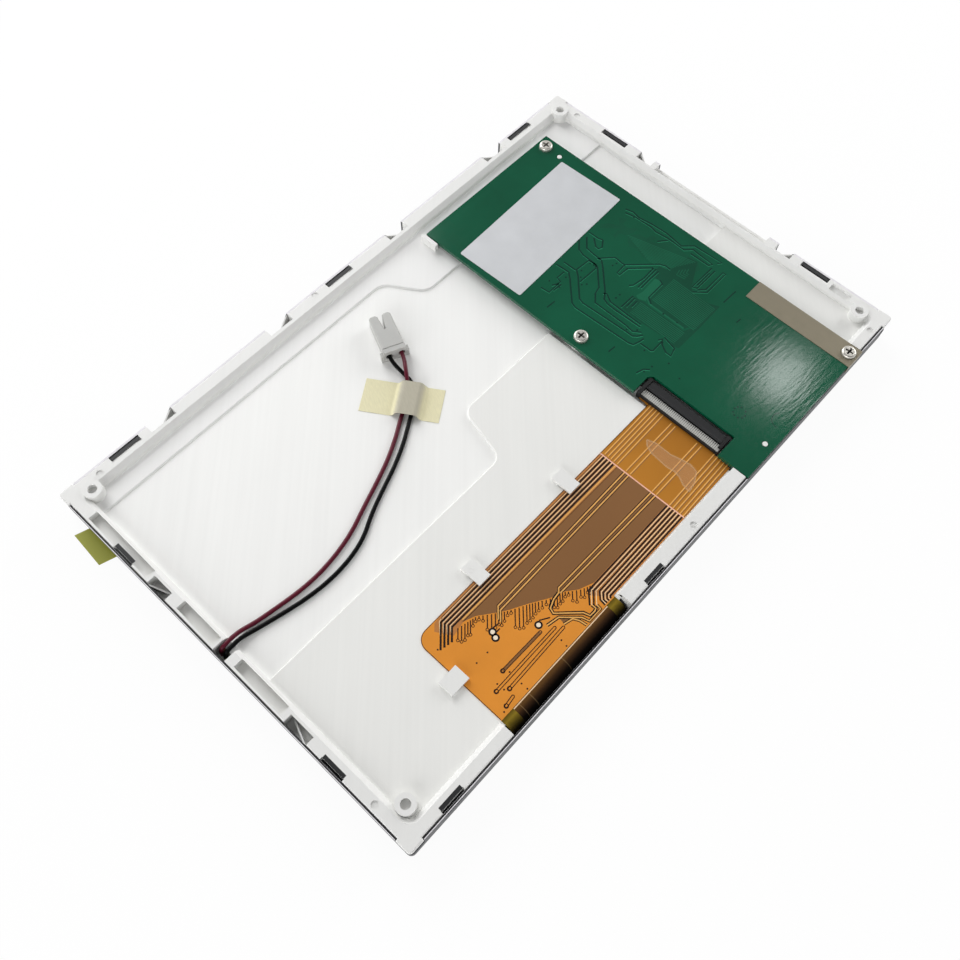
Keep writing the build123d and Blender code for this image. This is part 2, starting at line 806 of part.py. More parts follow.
# Pan head screws with a cross recess
with BuildPart() as screw_form:
    with Locations((0, 0, board_z + board_t + screw_head_h / 2)):
        Cylinder(screw_head_r, screw_head_h)
    fillet(screw_form.edges().sort_by(Axis.Z)[-1], screw_head_edge)
    recess_z = board_z + board_t + screw_head_h - cross_depth / 2
    with Locations((0, 0, recess_z)):
        Box(cross_l, cross_w, cross_depth, mode=Mode.SUBTRACT)
        Box(cross_w, cross_l, cross_depth, mode=Mode.SUBTRACT)
    with Locations((0, 0, board_z + board_t - screw_length / 2)):
        Cylinder(screw_r, screw_length)

with BuildPart() as board_screws:
    with Locations(*[(x, y, 0) for x, y in board_screw_places]):
        add(screw_form.part)

# Ground strap: on the board, under the third screw, folded down over the bezel's wall
with BuildPart() as ground_strap:
    block(strap_left, board_right, -half_y, strap_top, rim_z, rim_z + strap_t)
    block(strap_left, board_right, -half_y - strap_t, -half_y, rim_z - strap_fold_h, rim_z + strap_t)
    with BuildSketch(Plane.XY.offset(rim_z)):
        with Locations(board_screw_places[2]):
            Circle(screw_head_r + 0.1)
    extrude(amount=strap_t, mode=Mode.SUBTRACT)

# Blank label on the board
with BuildPart() as board_label:
    with BuildSketch(Plane.XY.offset(rim_z)):
        with Locations(Location((label_place[0], label_place[1], 0), (0, 0, label_turn))):
            RectangleRounded(label_l, label_w, 0.4)
    extrude(amount=label_t)

# Flexible circuit: flat on the plateau, over the edge, and back to the glass
flex_mid_z = shelf_z + flex_t / 2
bond_z = array_glass_z - flex_t / 2
with BuildPart() as panel_flex:
    with BuildSketch(Plane.XY.offset(shelf_z)) as flex_outline:
        with BuildLine():
            Polyline(
                (flex_left, fold_y + fold_bend_r),
                (fold_right, fold_y + fold_bend_r),
                (fold_right, flex_bottom),
                (conn_left - 0.5, flex_bottom),
                (conn_left - 0.1, tail_bottom),
                (conn_left + conn_mouth_depth - 0.2, tail_bottom),
                (conn_left + conn_mouth_depth - 0.2, tail_top),
                (conn_left - 0.1, tail_top),
                (conn_left - 0.5, flex_top),
                (flex_left, flex_top),
                close=True,
            )
        make_face()
        fillet(flex_outline.vertices().sort_by_distance((flex_left, flex_top))[0], flex_corner_r)
    extrude(amount=flex_t)
    with BuildSketch(Plane.YZ.offset(flex_left)):
        with BuildLine():
            fold_line = FilletPolyline(
                (fold_y + fold_bend_r, flex_mid_z),
                (fold_y, flex_mid_z),
                (fold_y, bond_z),
                (bond_y, bond_z),
                radius=[fold_bend_r - 0.01, bond_bend_r],
            )
            offset(fold_line, amount=flex_t / 2, side=Side.BOTH)
        make_face()
    extrude(amount=fold_right - flex_left)

# Stiffener under the end of the flex
with BuildPart() as flex_stiffener:
    block(conn_left + 0.4, conn_left + conn_mouth_depth - 0.2, tail_bottom, tail_top,
          shelf_z - stiffener_t, shelf_z)

# Flex connector: housing with its mouth towards the flex, comb of contacts and flip lock
with BuildPart() as flex_connector_housing:
    block(conn_left, conn_right, conn_bottom, conn_top, conn_z, conn_deck_z)
    for low, high in ((conn_bottom, lock_bottom - 0.1), (lock_top + 0.1, conn_top)):
        block(conn_left, conn_right, low, high, conn_deck_z, conn_top_z)
    tab_l, tab_w, tab_h = solder_tab
    block(conn_left, conn_bar_left + tab_l, lock_bottom - 0.1 - tab_w, lock_bottom - 0.1, conn_deck_z,
          conn_top_z, Mode.SUBTRACT)
    block(conn_left, conn_left + conn_mouth_depth, tail_bottom - 0.1, tail_top + 0.1,
          shelf_z - stiffener_t - 0.05, shelf_z - stiffener_t - 0.05 + conn_mouth_h, Mode.SUBTRACT)
    block(conn_left, conn_bar_left, lock_bottom - 0.1, lock_top + 0.1, conn_deck_z, conn_deck_z + 0.2)
    with Locations((lock_axis_x, (conn_bottom + conn_top) / 2, lock_axis_z)):
        Cylinder(lock_pin_r + lock_pin_play, lock_top - lock_bottom + 2 * lock_pin_l + 0.1,
                 rotation=(90, 0, 0), mode=Mode.SUBTRACT)
    for low, high in ((conn_bottom - conn_ear, conn_bottom), (conn_top, conn_top + conn_ear)):
        block(conn_left + 2.4, conn_right - 0.4, low, high, board_z - conn_ear_t, board_z)

contact_first = -(contact_count - 1) * contact_pitch / 2
contact_mid = (lock_bottom + lock_top) / 2
with BuildPart() as flex_connector_contacts:
    with BuildSketch(Plane.XY.offset(conn_deck_z)):
        with Locations((0, contact_mid)):
            with GridLocations(1, contact_pitch, 1, contact_count):
                with Locations(((conn_bar_left + conn_comb_left) / 2, 0)):
                    Rectangle(conn_comb_left - conn_bar_left, contact_pitch * 0.8)
                with Locations(((conn_comb_left + conn_comb_right) / 2 - 0.05, 0)):
                    Rectangle(conn_comb_right - conn_comb_left + 0.1, contact_w)
    extrude(amount=contact_t)
    tab_l, tab_w, tab_h = solder_tab
    block(conn_bar_left, conn_bar_left + tab_l, lock_bottom - 0.1 - tab_w, lock_bottom - 0.1,
          conn_deck_z, conn_deck_z + tab_h)

with BuildPart() as flex_connector_lock:
    block(lock_axis_x, lock_right, lock_bottom, lock_top, lock_axis_z - lock_nose_r + 0.02,
          lock_axis_z - lock_nose_r + 0.02 + lock_t)
    chamfer(flex_connector_lock.edges().filter_by(Axis.Z).sort_by(Axis.X)[-2:], 0.5)
    with Locations((lock_axis_x, (lock_bottom + lock_top) / 2, lock_axis_z)):
        Cylinder(lock_nose_r - 0.02, lock_top - lock_bottom, rotation=(90, 0, 0))
        Cylinder(lock_pin_r, lock_top - lock_bottom + 2 * lock_pin_l, rotation=(90, 0, 0))

# Controller chip and the other parts under the board
with BuildPart() as controller_chip:
    with Locations((*chip_place, board_z - 0.1 - chip_t / 2)):
        Box(chip_size, chip_size, chip_t)
    chamfer(controller_chip.edges().filter_by(Axis.Z), 0.6)

with BuildPart() as controller_chip_leads:
    lead_span = chip_size / 2 + 0.5
    with Locations((*chip_place, board_z - 0.1)):
        for turn in (0, 90, 180, 270):
            with PolarLocations(0, 1, start_angle=turn):
                with Locations((lead_span, 0, 0)):
                    with GridLocations(1, lead_pitch, 1, lead_rows):
                        Box(1.0, 0.35, 0.2)

with BuildPart() as supply_chip:
    with Locations((*supply_chip_place, board_z - supply_chip_size[2] / 2)):
        Box(*supply_chip_size)
    chamfer(supply_chip.faces().sort_by(Axis.Z)[0].edges(), 0.2)

with BuildPart() as supply_inductor:
    with Locations((*inductor_place, board_z - inductor_size[2] / 2)):
        Box(*inductor_size)
    chamfer(supply_inductor.edges().filter_by(Axis.Z), 1.0)

with BuildPart() as board_capacitors:
    with Locations((*capacitor_place, board_z - capacitor_size[2] / 2)):
        with GridLocations(capacitor_size[0] + capacitor_gap, capacitor_size[1] + capacitor_gap, 6, 2):
            Box(*capacitor_size)

with BuildPart() as host_connector:
    with Locations((host_x, 0, board_z - host_t / 2)):
        Box(host_d, host_w, host_t)
    with Locations((host_x + host_d / 2 - 1.5, 0, board_z - host_t / 2)):
        Box(3.0, host_w - 3.0, host_slot_h, mode=Mode.SUBTRACT)

with BuildPart() as host_connector_contacts:
    slot_low_z = board_z - host_t / 2 - host_slot_h / 2
    with Locations((host_x + host_d / 2 - 1.8, 0, slot_low_z + 0.1)):
        with GridLocations(1, host_pitch, 1, host_count):
            Box(2.2, 0.4, 0.2)

# Plug: flange, body and two prongs, in its own plane on the floor
plug_plane = Plane(
    origin=(plug_place[0], plug_place[1], floor_z),
    x_dir=(math.cos(math.radians(plug_turn)), math.sin(math.radians(plug_turn)), 0),
    z_dir=(0, 0, 1),
)
with BuildPart(plug_plane) as lead_plug:
    with BuildSketch(plug_plane):
        with BuildLine():
            Polyline(
                (-plug_w / 2, plug_flange_l),
                (plug_w / 2, plug_flange_l),
                (plug_tip_w / 2, plug_l),
                (-plug_tip_w / 2, plug_l),
                close=True,
            )
        make_face()
        with BuildLine():
            Polyline(
                (-plug_slot_end_w / 2, plug_l - plug_slot_l),
                (plug_slot_end_w / 2, plug_l - plug_slot_l),
                (plug_slot_w / 2, plug_l + 0.1),
                (-plug_slot_w / 2, plug_l + 0.1),
                close=True,
            )
        make_face(mode=Mode.SUBTRACT)
    extrude(amount=plug_h)
    tips = lead_plug.edges().filter_by(Axis.Z).sort_by_distance(plug_plane.from_local_coords((0, 2 * plug_l, 0)))
    chamfer(tips[:4], plug_tip_chamfer)
    chamfer(lead_plug.faces().sort_by(Axis.Z)[-1].edges(), plug_chamfer)
    with Locations((0, plug_flange_l / 2, plug_flange_h / 2)):
        Box(plug_flange_w, plug_flange_l, plug_flange_h)
    with Locations((0, plug_flange_l / 2, plug_h / 2)):
        Box(plug_w, plug_flange_l, plug_h)
    with Locations(*[(x, terminal_start + terminal_l / 2, plug_lead_h)
                     for x in (-plug_pitch / 2, plug_pitch / 2)]):
        Cylinder(terminal_r, terminal_l, rotation=(90, 0, 0), mode=Mode.SUBTRACT)
    with Locations(*[(x, terminal_start / 2, plug_lead_h) for x in (-plug_pitch / 2, plug_pitch / 2)]):
        Cylinder(plug_bore_r, terminal_start, rotation=(90, 0, 0), mode=Mode.SUBTRACT)

with BuildPart(plug_plane) as lead_terminals:
    with Locations(*[(x, terminal_start + terminal_l / 2, plug_lead_h)
                     for x in (-plug_pitch / 2, plug_pitch / 2)]):
        Cylinder(terminal_r, terminal_l, rotation=(90, 0, 0))

# Routes of the leads, from the plug's terminals to the tail of the light source
lead_end_z = strip_high_z
lead_end_x = -chassis_x + 0.9
red_end_y = 2.1
black_end_y = 0.75
lead_starts = [plug_plane.from_local_coords((x, terminal_start, plug_lead_h))
               for x in (plug_pitch / 2, -plug_pitch / 2)]
lead_exits = [plug_plane.from_local_coords((x, -1.5, plug_lead_h))
              for x in (plug_pitch / 2, -plug_pitch / 2)]


def over_outline(points):
    """Points of a route, moved with the outline when its length or width changes."""
    return [(x * span_x, y * span_y, z) for x, y, z in points]


red_route = [
    lead_starts[0],
    lead_exits[0],
    *over_outline([
        (-8.4, 22.1, plug_lead_z + 0.4),
        (-10.5, 19.4, lead_floor_z + 0.5),
        (-14.0, 16.5, lead_floor_z),
        (-18.0, 14.4, lead_floor_z),
        (-22.4, 11.6, lead_floor_z),
        (-28.0, 8.7, lead_floor_z),
        (-34.1, 6.3, lead_floor_z),
        (-40.2, 4.1, lead_floor_z),
        (-46.0, 1.8, lead_floor_z),
        (-51.5, 0.5, lead_floor_z),
        (-57.5, -0.2, lead_floor_z),
        (-63.4, 0.0, lead_floor_z),
        (-69.0, 0.8, lead_floor_z),
        (-74.3, 1.65, lead_floor_z),
        (-77.8, 2.5, lead_floor_z + 0.4),
        (-80.6, 2.35, lead_floor_z + 1.2),
    ]),
    (lead_end_x, red_end_y, lead_end_z + 2.9),
    (lead_end_x, red_end_y, lead_end_z),
]
black_route = [
    lead_starts[1],
    lead_exits[1],
    *over_outline([
        (-8.9, 22.6, lead_floor_z + 0.1),
        (-9.0, 19.6, lead_floor_z),
        (-10.9, 16.8, lead_floor_z),
        (-14.2, 14.2, lead_floor_z),
        (-18.0, 11.8, lead_floor_z),
        (-22.6, 9.0, lead_floor_z),
        (-28.0, 6.4, lead_floor_z),
        (-34.0, 4.15, lead_floor_z),
        (-40.0, 1.7, lead_floor_z),
        (-45.3, -1.2, lead_floor_z),
        (-51.0, -2.6, lead_floor_z),
        (-57.3, -2.95, lead_floor_z),
        (-63.5, -2.3, lead_floor_z),
        (-69.5, -1.0, lead_floor_z),
        (-75.1, 0.4, lead_floor_z),
        (-78.2, 1.1, lead_floor_z + 0.5),
        (-80.6, 1.1, lead_floor_z + 0.9),
    ]),
    (lead_end_x, black_end_y, lead_end_z + 2.6),
    (lead_end_x, black_end_y, lead_end_z),
]


def lead_radii(name, route):
    """Bend radii of one lead, printed in lead diameters."""
    radii = bend_radii(route)
    print(name, "bend radii in diameters:", [round(r / lead_d, 1) for r in radii])
    return radii


with BuildPart() as lead_red:
    with BuildLine():
        red_path = FilletPolyline(*red_route, radius=lead_radii("lead_red", red_route))
    with BuildSketch(Plane(origin=red_path @ 0, z_dir=red_path % 0)):
        Circle(lead_d / 2)
    sweep()

with BuildPart() as lead_black:
    with BuildLine():
        black_path = FilletPolyline(*black_route, radius=lead_radii("lead_black", black_route))
    with BuildSketch(Plane(origin=black_path @ 0, z_dir=black_path % 0)):
        Circle(lead_d / 2)
    sweep()

for name, lead, path in (("lead_red", lead_red, red_path), ("lead_black", lead_black, black_path)):
    section = math.pi * lead_d**2 / 4
    print(name, "length", round(path.length, 1), "mm, volume against section times length",
          round(lead.part.volume / (section * path.length), 4))

# Tape over the leads, with its hump
tape_plane = Plane(
    origin=(tape_place[0], tape_place[1], floor_z),
    x_dir=(math.cos(math.radians(tape_turn)), math.sin(math.radians(tape_turn)), 0),
    z_dir=(0, 0, 1),
)
with BuildPart() as lead_tape:
    tape_side = Plane(origin=tape_plane.origin, x_dir=tape_plane.x_dir, z_dir=-tape_plane.y_dir)
    with BuildSketch(tape_side):
        with BuildLine():
            tape_line = FilletPolyline(
                (-tape_l / 2, tape_t / 2),
                (hump_left - hump_slope, tape_t / 2),
                (hump_left, hump_h),
                (hump_right, hump_h),
                (hump_right + hump_slope, tape_t / 2),
                (tape_l / 2, tape_t / 2),
                radius=hump_bend_r,
            )
            offset(tape_line, amount=tape_t / 2, side=Side.BOTH)
        make_face()
    extrude(amount=tape_w / 2, both=True)

pieces = {
    "front_bezel": front_bezel,
    "window_gasket": window_gasket,
    "protective_film": protective_film,
    "film_pull_tab": film_pull_tab,
    "front_polarizer": front_polarizer,
    "color_filter_glass": color_filter_glass,
    "array_glass": array_glass,
    "rear_polarizer": rear_polarizer,
    "source_driver_chips": source_driver_chips,
    "gate_driver_chips": gate_driver_chips,
    "panel_flex": panel_flex,
    "flex_stiffener": flex_stiffener,
    "middle_frame": middle_frame,
    "upper_prism_sheet": upper_prism_sheet,
    "lower_prism_sheet": lower_prism_sheet,
    "diffuser_sheet": diffuser_sheet,
    "light_guide": light_guide,
    "reflector_sheet": reflector_sheet,
    "led_strip": led_strip,
    "backlight_leds": backlight_leds,
    "rear_chassis": rear_chassis,
    "controller_board": controller_board,
    "controller_chip": controller_chip,
    "controller_chip_leads": controller_chip_leads,
    "supply_chip": supply_chip,
    "supply_inductor": supply_inductor,
    "board_capacitors": board_capacitors,
    "host_connector": host_connector,
    "host_connector_contacts": host_connector_contacts,
    "flex_connector_housing": flex_connector_housing,
    "flex_connector_contacts": flex_connector_contacts,
    "flex_connector_lock": flex_connector_lock,
    "board_screws": board_screws,
    "ground_strap": ground_strap,
    "board_label": board_label,
    "lead_plug": lead_plug,
    "lead_terminals": lead_terminals,
    "lead_red": lead_red,
    "lead_black": lead_black,
    "lead_tape": lead_tape,
}
for name, piece in pieces.items():
    piece.part.label = name
    export_step(piece.part, f"parts/{name}.step")
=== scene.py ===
"""Back of a seven inch display module: white chassis, green board, folded flex and two leads."""

import math

import bpy
from mathutils import Matrix, Vector


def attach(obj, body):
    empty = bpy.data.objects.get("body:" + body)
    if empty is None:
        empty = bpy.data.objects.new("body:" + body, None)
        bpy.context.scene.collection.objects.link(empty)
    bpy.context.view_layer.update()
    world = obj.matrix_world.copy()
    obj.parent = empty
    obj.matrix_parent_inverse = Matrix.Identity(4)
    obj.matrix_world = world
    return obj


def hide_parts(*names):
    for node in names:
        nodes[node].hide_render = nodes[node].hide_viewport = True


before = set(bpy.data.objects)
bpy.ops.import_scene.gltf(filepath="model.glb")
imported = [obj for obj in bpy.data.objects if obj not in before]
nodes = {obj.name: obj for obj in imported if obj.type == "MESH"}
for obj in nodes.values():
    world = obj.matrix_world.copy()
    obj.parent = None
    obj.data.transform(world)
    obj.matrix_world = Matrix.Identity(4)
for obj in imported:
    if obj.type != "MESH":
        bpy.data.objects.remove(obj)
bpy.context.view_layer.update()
scene = bpy.context.scene
MM = 0.001

# Places and sizes on the module, in millimetres
RIM_Z = 8.1
FLOOR_Z = 5.4
BOARD_TOP = RIM_Z
FLEX_TOP_Z = 6.47
COVER_EDGE_X = 7.1
FOLD_Y = -50.5
FOLD_MIDDLE_X = -35.6
FOLD_PLAIN_HALF = 15.0
WALL_INSIDE_X = 84.46
WALL_INSIDE_Y = 54.46
TAB_LOWEST_Z = 3.0
MOULD_MARKS_TURN = 43.3


def linear(code):
    """Linear colour of an sRGB hex code."""
    parts = [int(code[i : i + 2], 16) / 255 for i in (1, 3, 5)]
    return (*[c / 12.92 if c <= 0.04045 else ((c + 0.055) / 1.055) ** 2.4 for c in parts], 1.0)


def add_node(tree, kind, inputs=None, **settings):
    """Adds one node. An input is a value, or the output socket that feeds it."""
    made = tree.nodes.new(kind)
    for key, value in settings.items():
        setattr(made, key, value)
    for key, value in (inputs or {}).items():
        if isinstance(value, bpy.types.NodeSocket):
            tree.links.new(value, made.inputs[key])
        else:
            made.inputs[key].default_value = value
    return made


def new_finish(name, colour, roughness, **values):
    """Material with a shader set to plain values; returns the material, its tree and its shader."""
    made = bpy.data.materials.new(name)
    made.use_nodes = True
    tree = made.node_tree
    shader = tree.nodes["Principled BSDF"]
    shader.inputs["Base Color"].default_value = linear(colour)
    shader.inputs["Roughness"].default_value = roughness
    for key, value in values.items():
        shader.inputs[key.replace("_", " ")].default_value = value
    return made, tree, shader


def maths(tree, operation, *values):
    """Result of one calculation or comparison."""
    return add_node(tree, "ShaderNodeMath", dict(enumerate(values)), operation=operation).outputs["Value"]


def blended(tree, factor, first, second, blend_type="MIX"):
    """One colour mixed with another."""
    return add_node(
        tree,
        "ShaderNodeMix",
        {"Factor": factor, "A": first, "B": second},
        data_type="RGBA",
        blend_type=blend_type,
    ).outputs["Result"]


def shade(tree, colour, factor):
    """Colour multiplied by a grey factor."""
    return blended(tree, 1.0, colour, factor, "MULTIPLY")


def ranged(tree, value, ends, results):
    """Value brought from one range to another."""
    inputs = {"From Min": ends[0], "From Max": ends[1], "To Min": results[0], "To Max": results[1]}
    return add_node(tree, "ShaderNodeMapRange", {"Value": value, **inputs}).outputs["Result"]


def between(tree, value, low, high):
    """Noise value brought to a narrow range round one."""
    return ranged(tree, value, (0.3, 0.7), (low, high))


def place_of(tree, kind="Object"):
    """Object coordinates, in metres, or the normal."""
    return add_node(tree, "ShaderNodeTexCoord").outputs[kind]


def noise(tree, size_mm, detail=2.0):
    """Even noise with features of a given size."""
    place = add_node(
        tree,
        "ShaderNodeMapping",
        {"Vector": place_of(tree), "Scale": (1 / MM, 1 / MM, 1 / MM)},
        vector_type="POINT",
    ).outputs["Vector"]
    return add_node(
        tree, "ShaderNodeTexNoise", {"Vector": place, "Scale": 1 / size_mm, "Detail": detail}
    ).outputs["Fac"]


def stretched(tree, long_mm, short_mm, degrees):
    """Noise drawn out along one direction in the plane of the module."""
    turned = add_node(
        tree,
        "ShaderNodeMapping",
        {
            "Vector": place_of(tree),
            "Rotation": (0, 0, math.radians(degrees)),
            "Scale": (long_mm * MM, short_mm * MM, long_mm * MM),
        },
        vector_type="TEXTURE",
    ).outputs["Vector"]
    return add_node(tree, "ShaderNodeTexNoise", {"Vector": turned, "Scale": 1.0}).outputs["Fac"]


def bumped(tree, height, depth_mm, strength):
    """Bump of a given depth."""
    return add_node(
        tree, "ShaderNodeBump", {"Height": height, "Distance": depth_mm * MM, "Strength": strength}
    )


def grain(tree, shader, size_mm, depth_mm, strength=1.0, detail=3.0):
    """Fine grain of a moulded or pressed surface, as bump."""
    bump = bumped(tree, noise(tree, size_mm, detail), depth_mm, strength)
    tree.links.new(bump.outputs["Normal"], shader.inputs["Normal"])
    return bump


def axis_value(tree, axis):
    """One of the object coordinates, in millimetres."""
    axes = add_node(tree, "ShaderNodeSeparateXYZ", {"Vector": place_of(tree)})
    return maths(tree, "MULTIPLY", axes.outputs[axis], 1 / MM)


def tone_by_value(tree, value, low, high, stops):
    """Colour ramp over a range of a value; stops are pairs of a value and a colour."""
    share = add_node(tree, "ShaderNodeMapRange", {"Value": value, "From Min": low, "From Max": high})
    ramp = add_node(tree, "ShaderNodeValToRGB", {"Fac": share.outputs["Result"]})
    elements = ramp.color_ramp.elements
    while len(elements) < len(stops):
        elements.new(0.5)
    for element, (at, colour) in zip(elements, stops):
        element.position = (at - low) / (high - low)
        element.color = linear(colour)
    return ramp.outputs["Color"]


def moulded_white():
    """White ABS moulding: satin, with the faint drawn-out tool marks of its mould."""
    made, tree, shader = new_finish("moulded_white_abs", "#ececea", 0.45, IOR=1.54)
    # Painted light and shade by height: lightest on the tray floor, darker on each higher level up to the
    # rim
    level = tone_by_value(
        tree,
        axis_value(tree, "Z"),
        5.0,
        8.5,
        [(5.45, "#f4f4f2"), (5.8, "#f0f0ef"), (6.3, "#ecece9"), (6.45, "#ecece9"), (7.6, "#e7e7e5")],
    )
    marks = stretched(tree, 60.0, 0.9, MOULD_MARKS_TURN)
    cloud = stretched(tree, 40.0, 9.0, MOULD_MARKS_TURN)
    marked = shade(tree, level, between(tree, marks, 0.982, 1.006))
    toned = shade(tree, marked, between(tree, cloud, 0.985, 1.01))
    tree.links.new(toned, shader.inputs["Base Color"])
    bump = grain(tree, shader, 0.35, 0.008, 0.4)
    lines = bumped(tree, marks, 0.004, 0.5)
    tree.links.new(lines.outputs["Normal"], bump.inputs["Normal"])
    return made


def blackened_steel():
    """Dark finished steel sheet, with a painted highlight along the top edge of its wall and painted shade
    and highlight on its tabs by their slope.
    """
    grey = "#5a5b5d"
    made, tree, shader = new_finish("blackened_sheet_steel", grey, 0.5, Specular_IOR_Level=0.15)
    # Painted highlight: a pale band along the top edge of the wall
    edge = tone_by_value(tree, axis_value(tree, "Z"), 7.0, 8.0, [(7.7, grey), (7.76, "#eae8ec")])
    clear_x = maths(tree, "LESS_THAN", maths(tree, "ABSOLUTE", axis_value(tree, "X")), WALL_INSIDE_X)
    clear_y = maths(tree, "LESS_THAN", maths(tree, "ABSOLUTE", axis_value(tree, "Y")), WALL_INSIDE_Y)
    raised = maths(tree, "GREATER_THAN", axis_value(tree, "Z"), TAB_LOWEST_Z)
    tab = maths(tree, "MULTIPLY", maths(tree, "MULTIPLY", clear_x, clear_y), raised)
    # Painted shade and highlight on the tabs: dark where they slope, pale where they are steep or flat
    facing = add_node(tree, "ShaderNodeSeparateXYZ", {"Vector": place_of(tree, "Normal")})
    slope = tone_by_value(
        tree,
        facing.outputs["Z"],
        0.0,
        1.0,
        [(0.3, "#b8b8b6"), (0.4, "#232426"), (0.7, "#232426"), (0.8, "#e0e0de")],
    )
    tone = blended(tree, tab, edge, slope)
    toned = shade(tree, tone, between(tree, noise(tree, 2.5), 0.93, 1.05))
    tree.links.new(toned, shader.inputs["Base Color"])
    grain(tree, shader, 0.5, 0.006, 0.4)
    return made


def solder_mask(name, colour, roughness):
    """Green solder mask over glass epoxy: lacquer with long fine polishing lines."""
    made, tree, shader = new_finish(name, colour, roughness, IOR=1.5)
    toned = shade(tree, linear(colour), between(tree, noise(tree, 16, 3.0), 0.86, 1.12))
    tree.links.new(toned, shader.inputs["Base Color"])
    bump = grain(tree, shader, 1.1, 0.004, 0.3)
    brushed = bumped(tree, stretched(tree, 5.0, 0.8, -4.0), 0.014, 1.0)
    tree.links.new(brushed.outputs["Normal"], bump.inputs["Normal"])
    return made


def polyimide():
    """Polyimide film over copper: warm amber, browner under the cover film; painted shade round the fold,
    with a painted highlight along its inner edge.
    """
    made, tree, shader = new_finish("polyimide_film", "#c8822f", 0.42, IOR=1.6, Specular_IOR_Level=0.12)
    along = axis_value(tree, "X")
    across = axis_value(tree, "Y")
    flat = tone_by_value(
        tree,
        along,
        -60.0,
        40.0,
        [(-54.0, "#de8f36"), (6.7, "#d98c35"), (7.2, "#b87a2b"), (26.0, "#a56b22")],
    )
    # Painted shade over the fold, darkest on its outer curve, and a thin painted highlight along its inner
    # edge
    fold = tone_by_value(
        tree,
        across,
        -56.0,
        -50.0,
        [(-53.3, "#0c0603"), (-52.2, "#3a2411"), (-51.4, "#5a3c1a"), (-50.9, "#5f3f1c"),
         (-50.84, "#f0cfa8"), (-50.66, "#f0cfa8"), (-50.6, "#241306")],
    )
    # Pale thin ticks across the fold band
    fold_ticks = tone_by_value(
        tree,
        along,
        -50.0,
        -30.0,
        [(-49.2, "#000000"), (-49.15, "#8c8c8c"), (-49.05, "#8c8c8c"), (-49.0, "#000000"),
         (-46.2, "#000000"), (-46.15, "#8c8c8c"), (-46.05, "#8c8c8c"), (-46.0, "#000000"),
         (-36.0, "#000000"), (-35.95, "#707070"), (-35.8, "#707070"), (-35.75, "#000000")],
    )
    fold = blended(tree, fold_ticks, fold, linear("#c8a878"))
    # Olive at the two ends of the fold, darker towards its outer curve: painted shade
    olive = tone_by_value(
        tree, across, -56.0, -50.0, [(-53.6, "#2a2208"), (-51.5, "#8a7420"), (-50.5, "#57460f")]
    )
    from_middle = maths(tree, "ABSOLUTE", maths(tree, "SUBTRACT", along, FOLD_MIDDLE_X))
    fold = blended(tree, maths(tree, "GREATER_THAN", from_middle, FOLD_PLAIN_HALF), fold, olive)
    level = blended(tree, maths(tree, "LESS_THAN", across, FOLD_Y), flat, fold)
    toned = shade(tree, level, between(tree, noise(tree, 9, 3.0), 0.95, 1.04))
    tree.links.new(toned, shader.inputs["Base Color"])
    grain(tree, shader, 2.5, 0.02, 0.4, 1.0)
    return made


def simple(name, colour, roughness, size_mm=0.5, depth_mm=0.01, **values):
    """Finish of one colour with a slight drift of tone and a fine grain."""
    made, tree, shader = new_finish(name, colour, roughness, **values)
    drift = ranged(tree, noise(tree, size_mm * 8), (0.0, 1.0), (0.93, 1.07))
    tree.links.new(shade(tree, linear(colour), drift), shader.inputs["Base Color"])
    grain(tree, shader, size_mm, depth_mm, 0.5)
    return made


def masking_paper():
    """Crepe paper tape: pale straw, greyer and crinkled where it rises over the leads."""
    made, tree, shader = new_finish("masking_paper", "#e4deb8", 0.6)
    rise = tone_by_value(
        tree, axis_value(tree, "Z"), 5.0, 8.0, [(5.7, "#e4deb8"), (6.6, "#c9c4ac"), (7.3, "#b3ae9c")]
    )
    crepe = stretched(tree, 1.4, 0.35, 62.0)
    toned = shade(tree, rise, between(tree, crepe, 0.95, 1.03))
    tree.links.new(toned, shader.inputs["Base Color"])
    grain(tree, shader, 0.5, 0.03, 0.5)
    return made


white_abs = moulded_white()
steel = blackened_steel()
mask = solder_mask("green_solder_mask", "#0a5239", 0.11)
mask_groove = solder_mask("mask_over_bare_laminate", "#08352a", 0.13)
mask_field = solder_mask("mask_over_fine_tracks", "#0c4733", 0.13)
mask_track = solder_mask("mask_over_copper", "#165f44", 0.13)
mask_dense = solder_mask("mask_over_dense_tracks", "#0d4f38", 0.13)
# Painted highlight along one side of each copper edge
mask_lit = solder_mask("painted_copper_edge_highlight", "#237a58", 0.13)
flex_film = polyimide()
black_foam = simple("black_foam", "#18181a", 0.85)
clear_film = simple("clear_polyester_film", "#dfe6ea", 0.08, 20.0, 0.01, IOR=1.6, Alpha=0.25)
green_film = simple("olive_polyester_film", "#aaac40", 0.4, 3.0, 0.02)
polarizer = simple("dark_polarizer_film", "#0e0f11", 0.18, 0.2, 0.004, IOR=1.5)
panel_glass = simple("panel_glass", "#9fb0aa", 0.05, 20.0, 0.001, IOR=1.52)
silicon = simple("driver_silicon", "#26282c", 0.15)
optical = simple("optical_film", "#e6e8ea", 0.3)
acrylic = simple("clear_acrylic", "#e8eeee", 0.08, 20.0, 0.001, IOR=1.49)
white_laminate = simple("white_laminate", "#e4e4e0", 0.4)
phosphor = simple("yellow_phosphor", "#e2c75a", 0.4)
black_epoxy = simple("black_moulding_epoxy", "#202122", 0.5, 0.3)
tin = simple("tinned_copper", "#c9c9c6", 0.32, 0.4, 0.004, Metallic=1.0)
ceramic = simple("tan_ceramic", "#a98d6d", 0.45)
housing_resin = simple("black_liquid_crystal_polymer", "#121213", 0.5, 0.3, Specular_IOR_Level=0.35)
lock_resin = simple("grey_black_nylon", "#1b1c1e", 0.55, 0.3, Specular_IOR_Level=0.35)
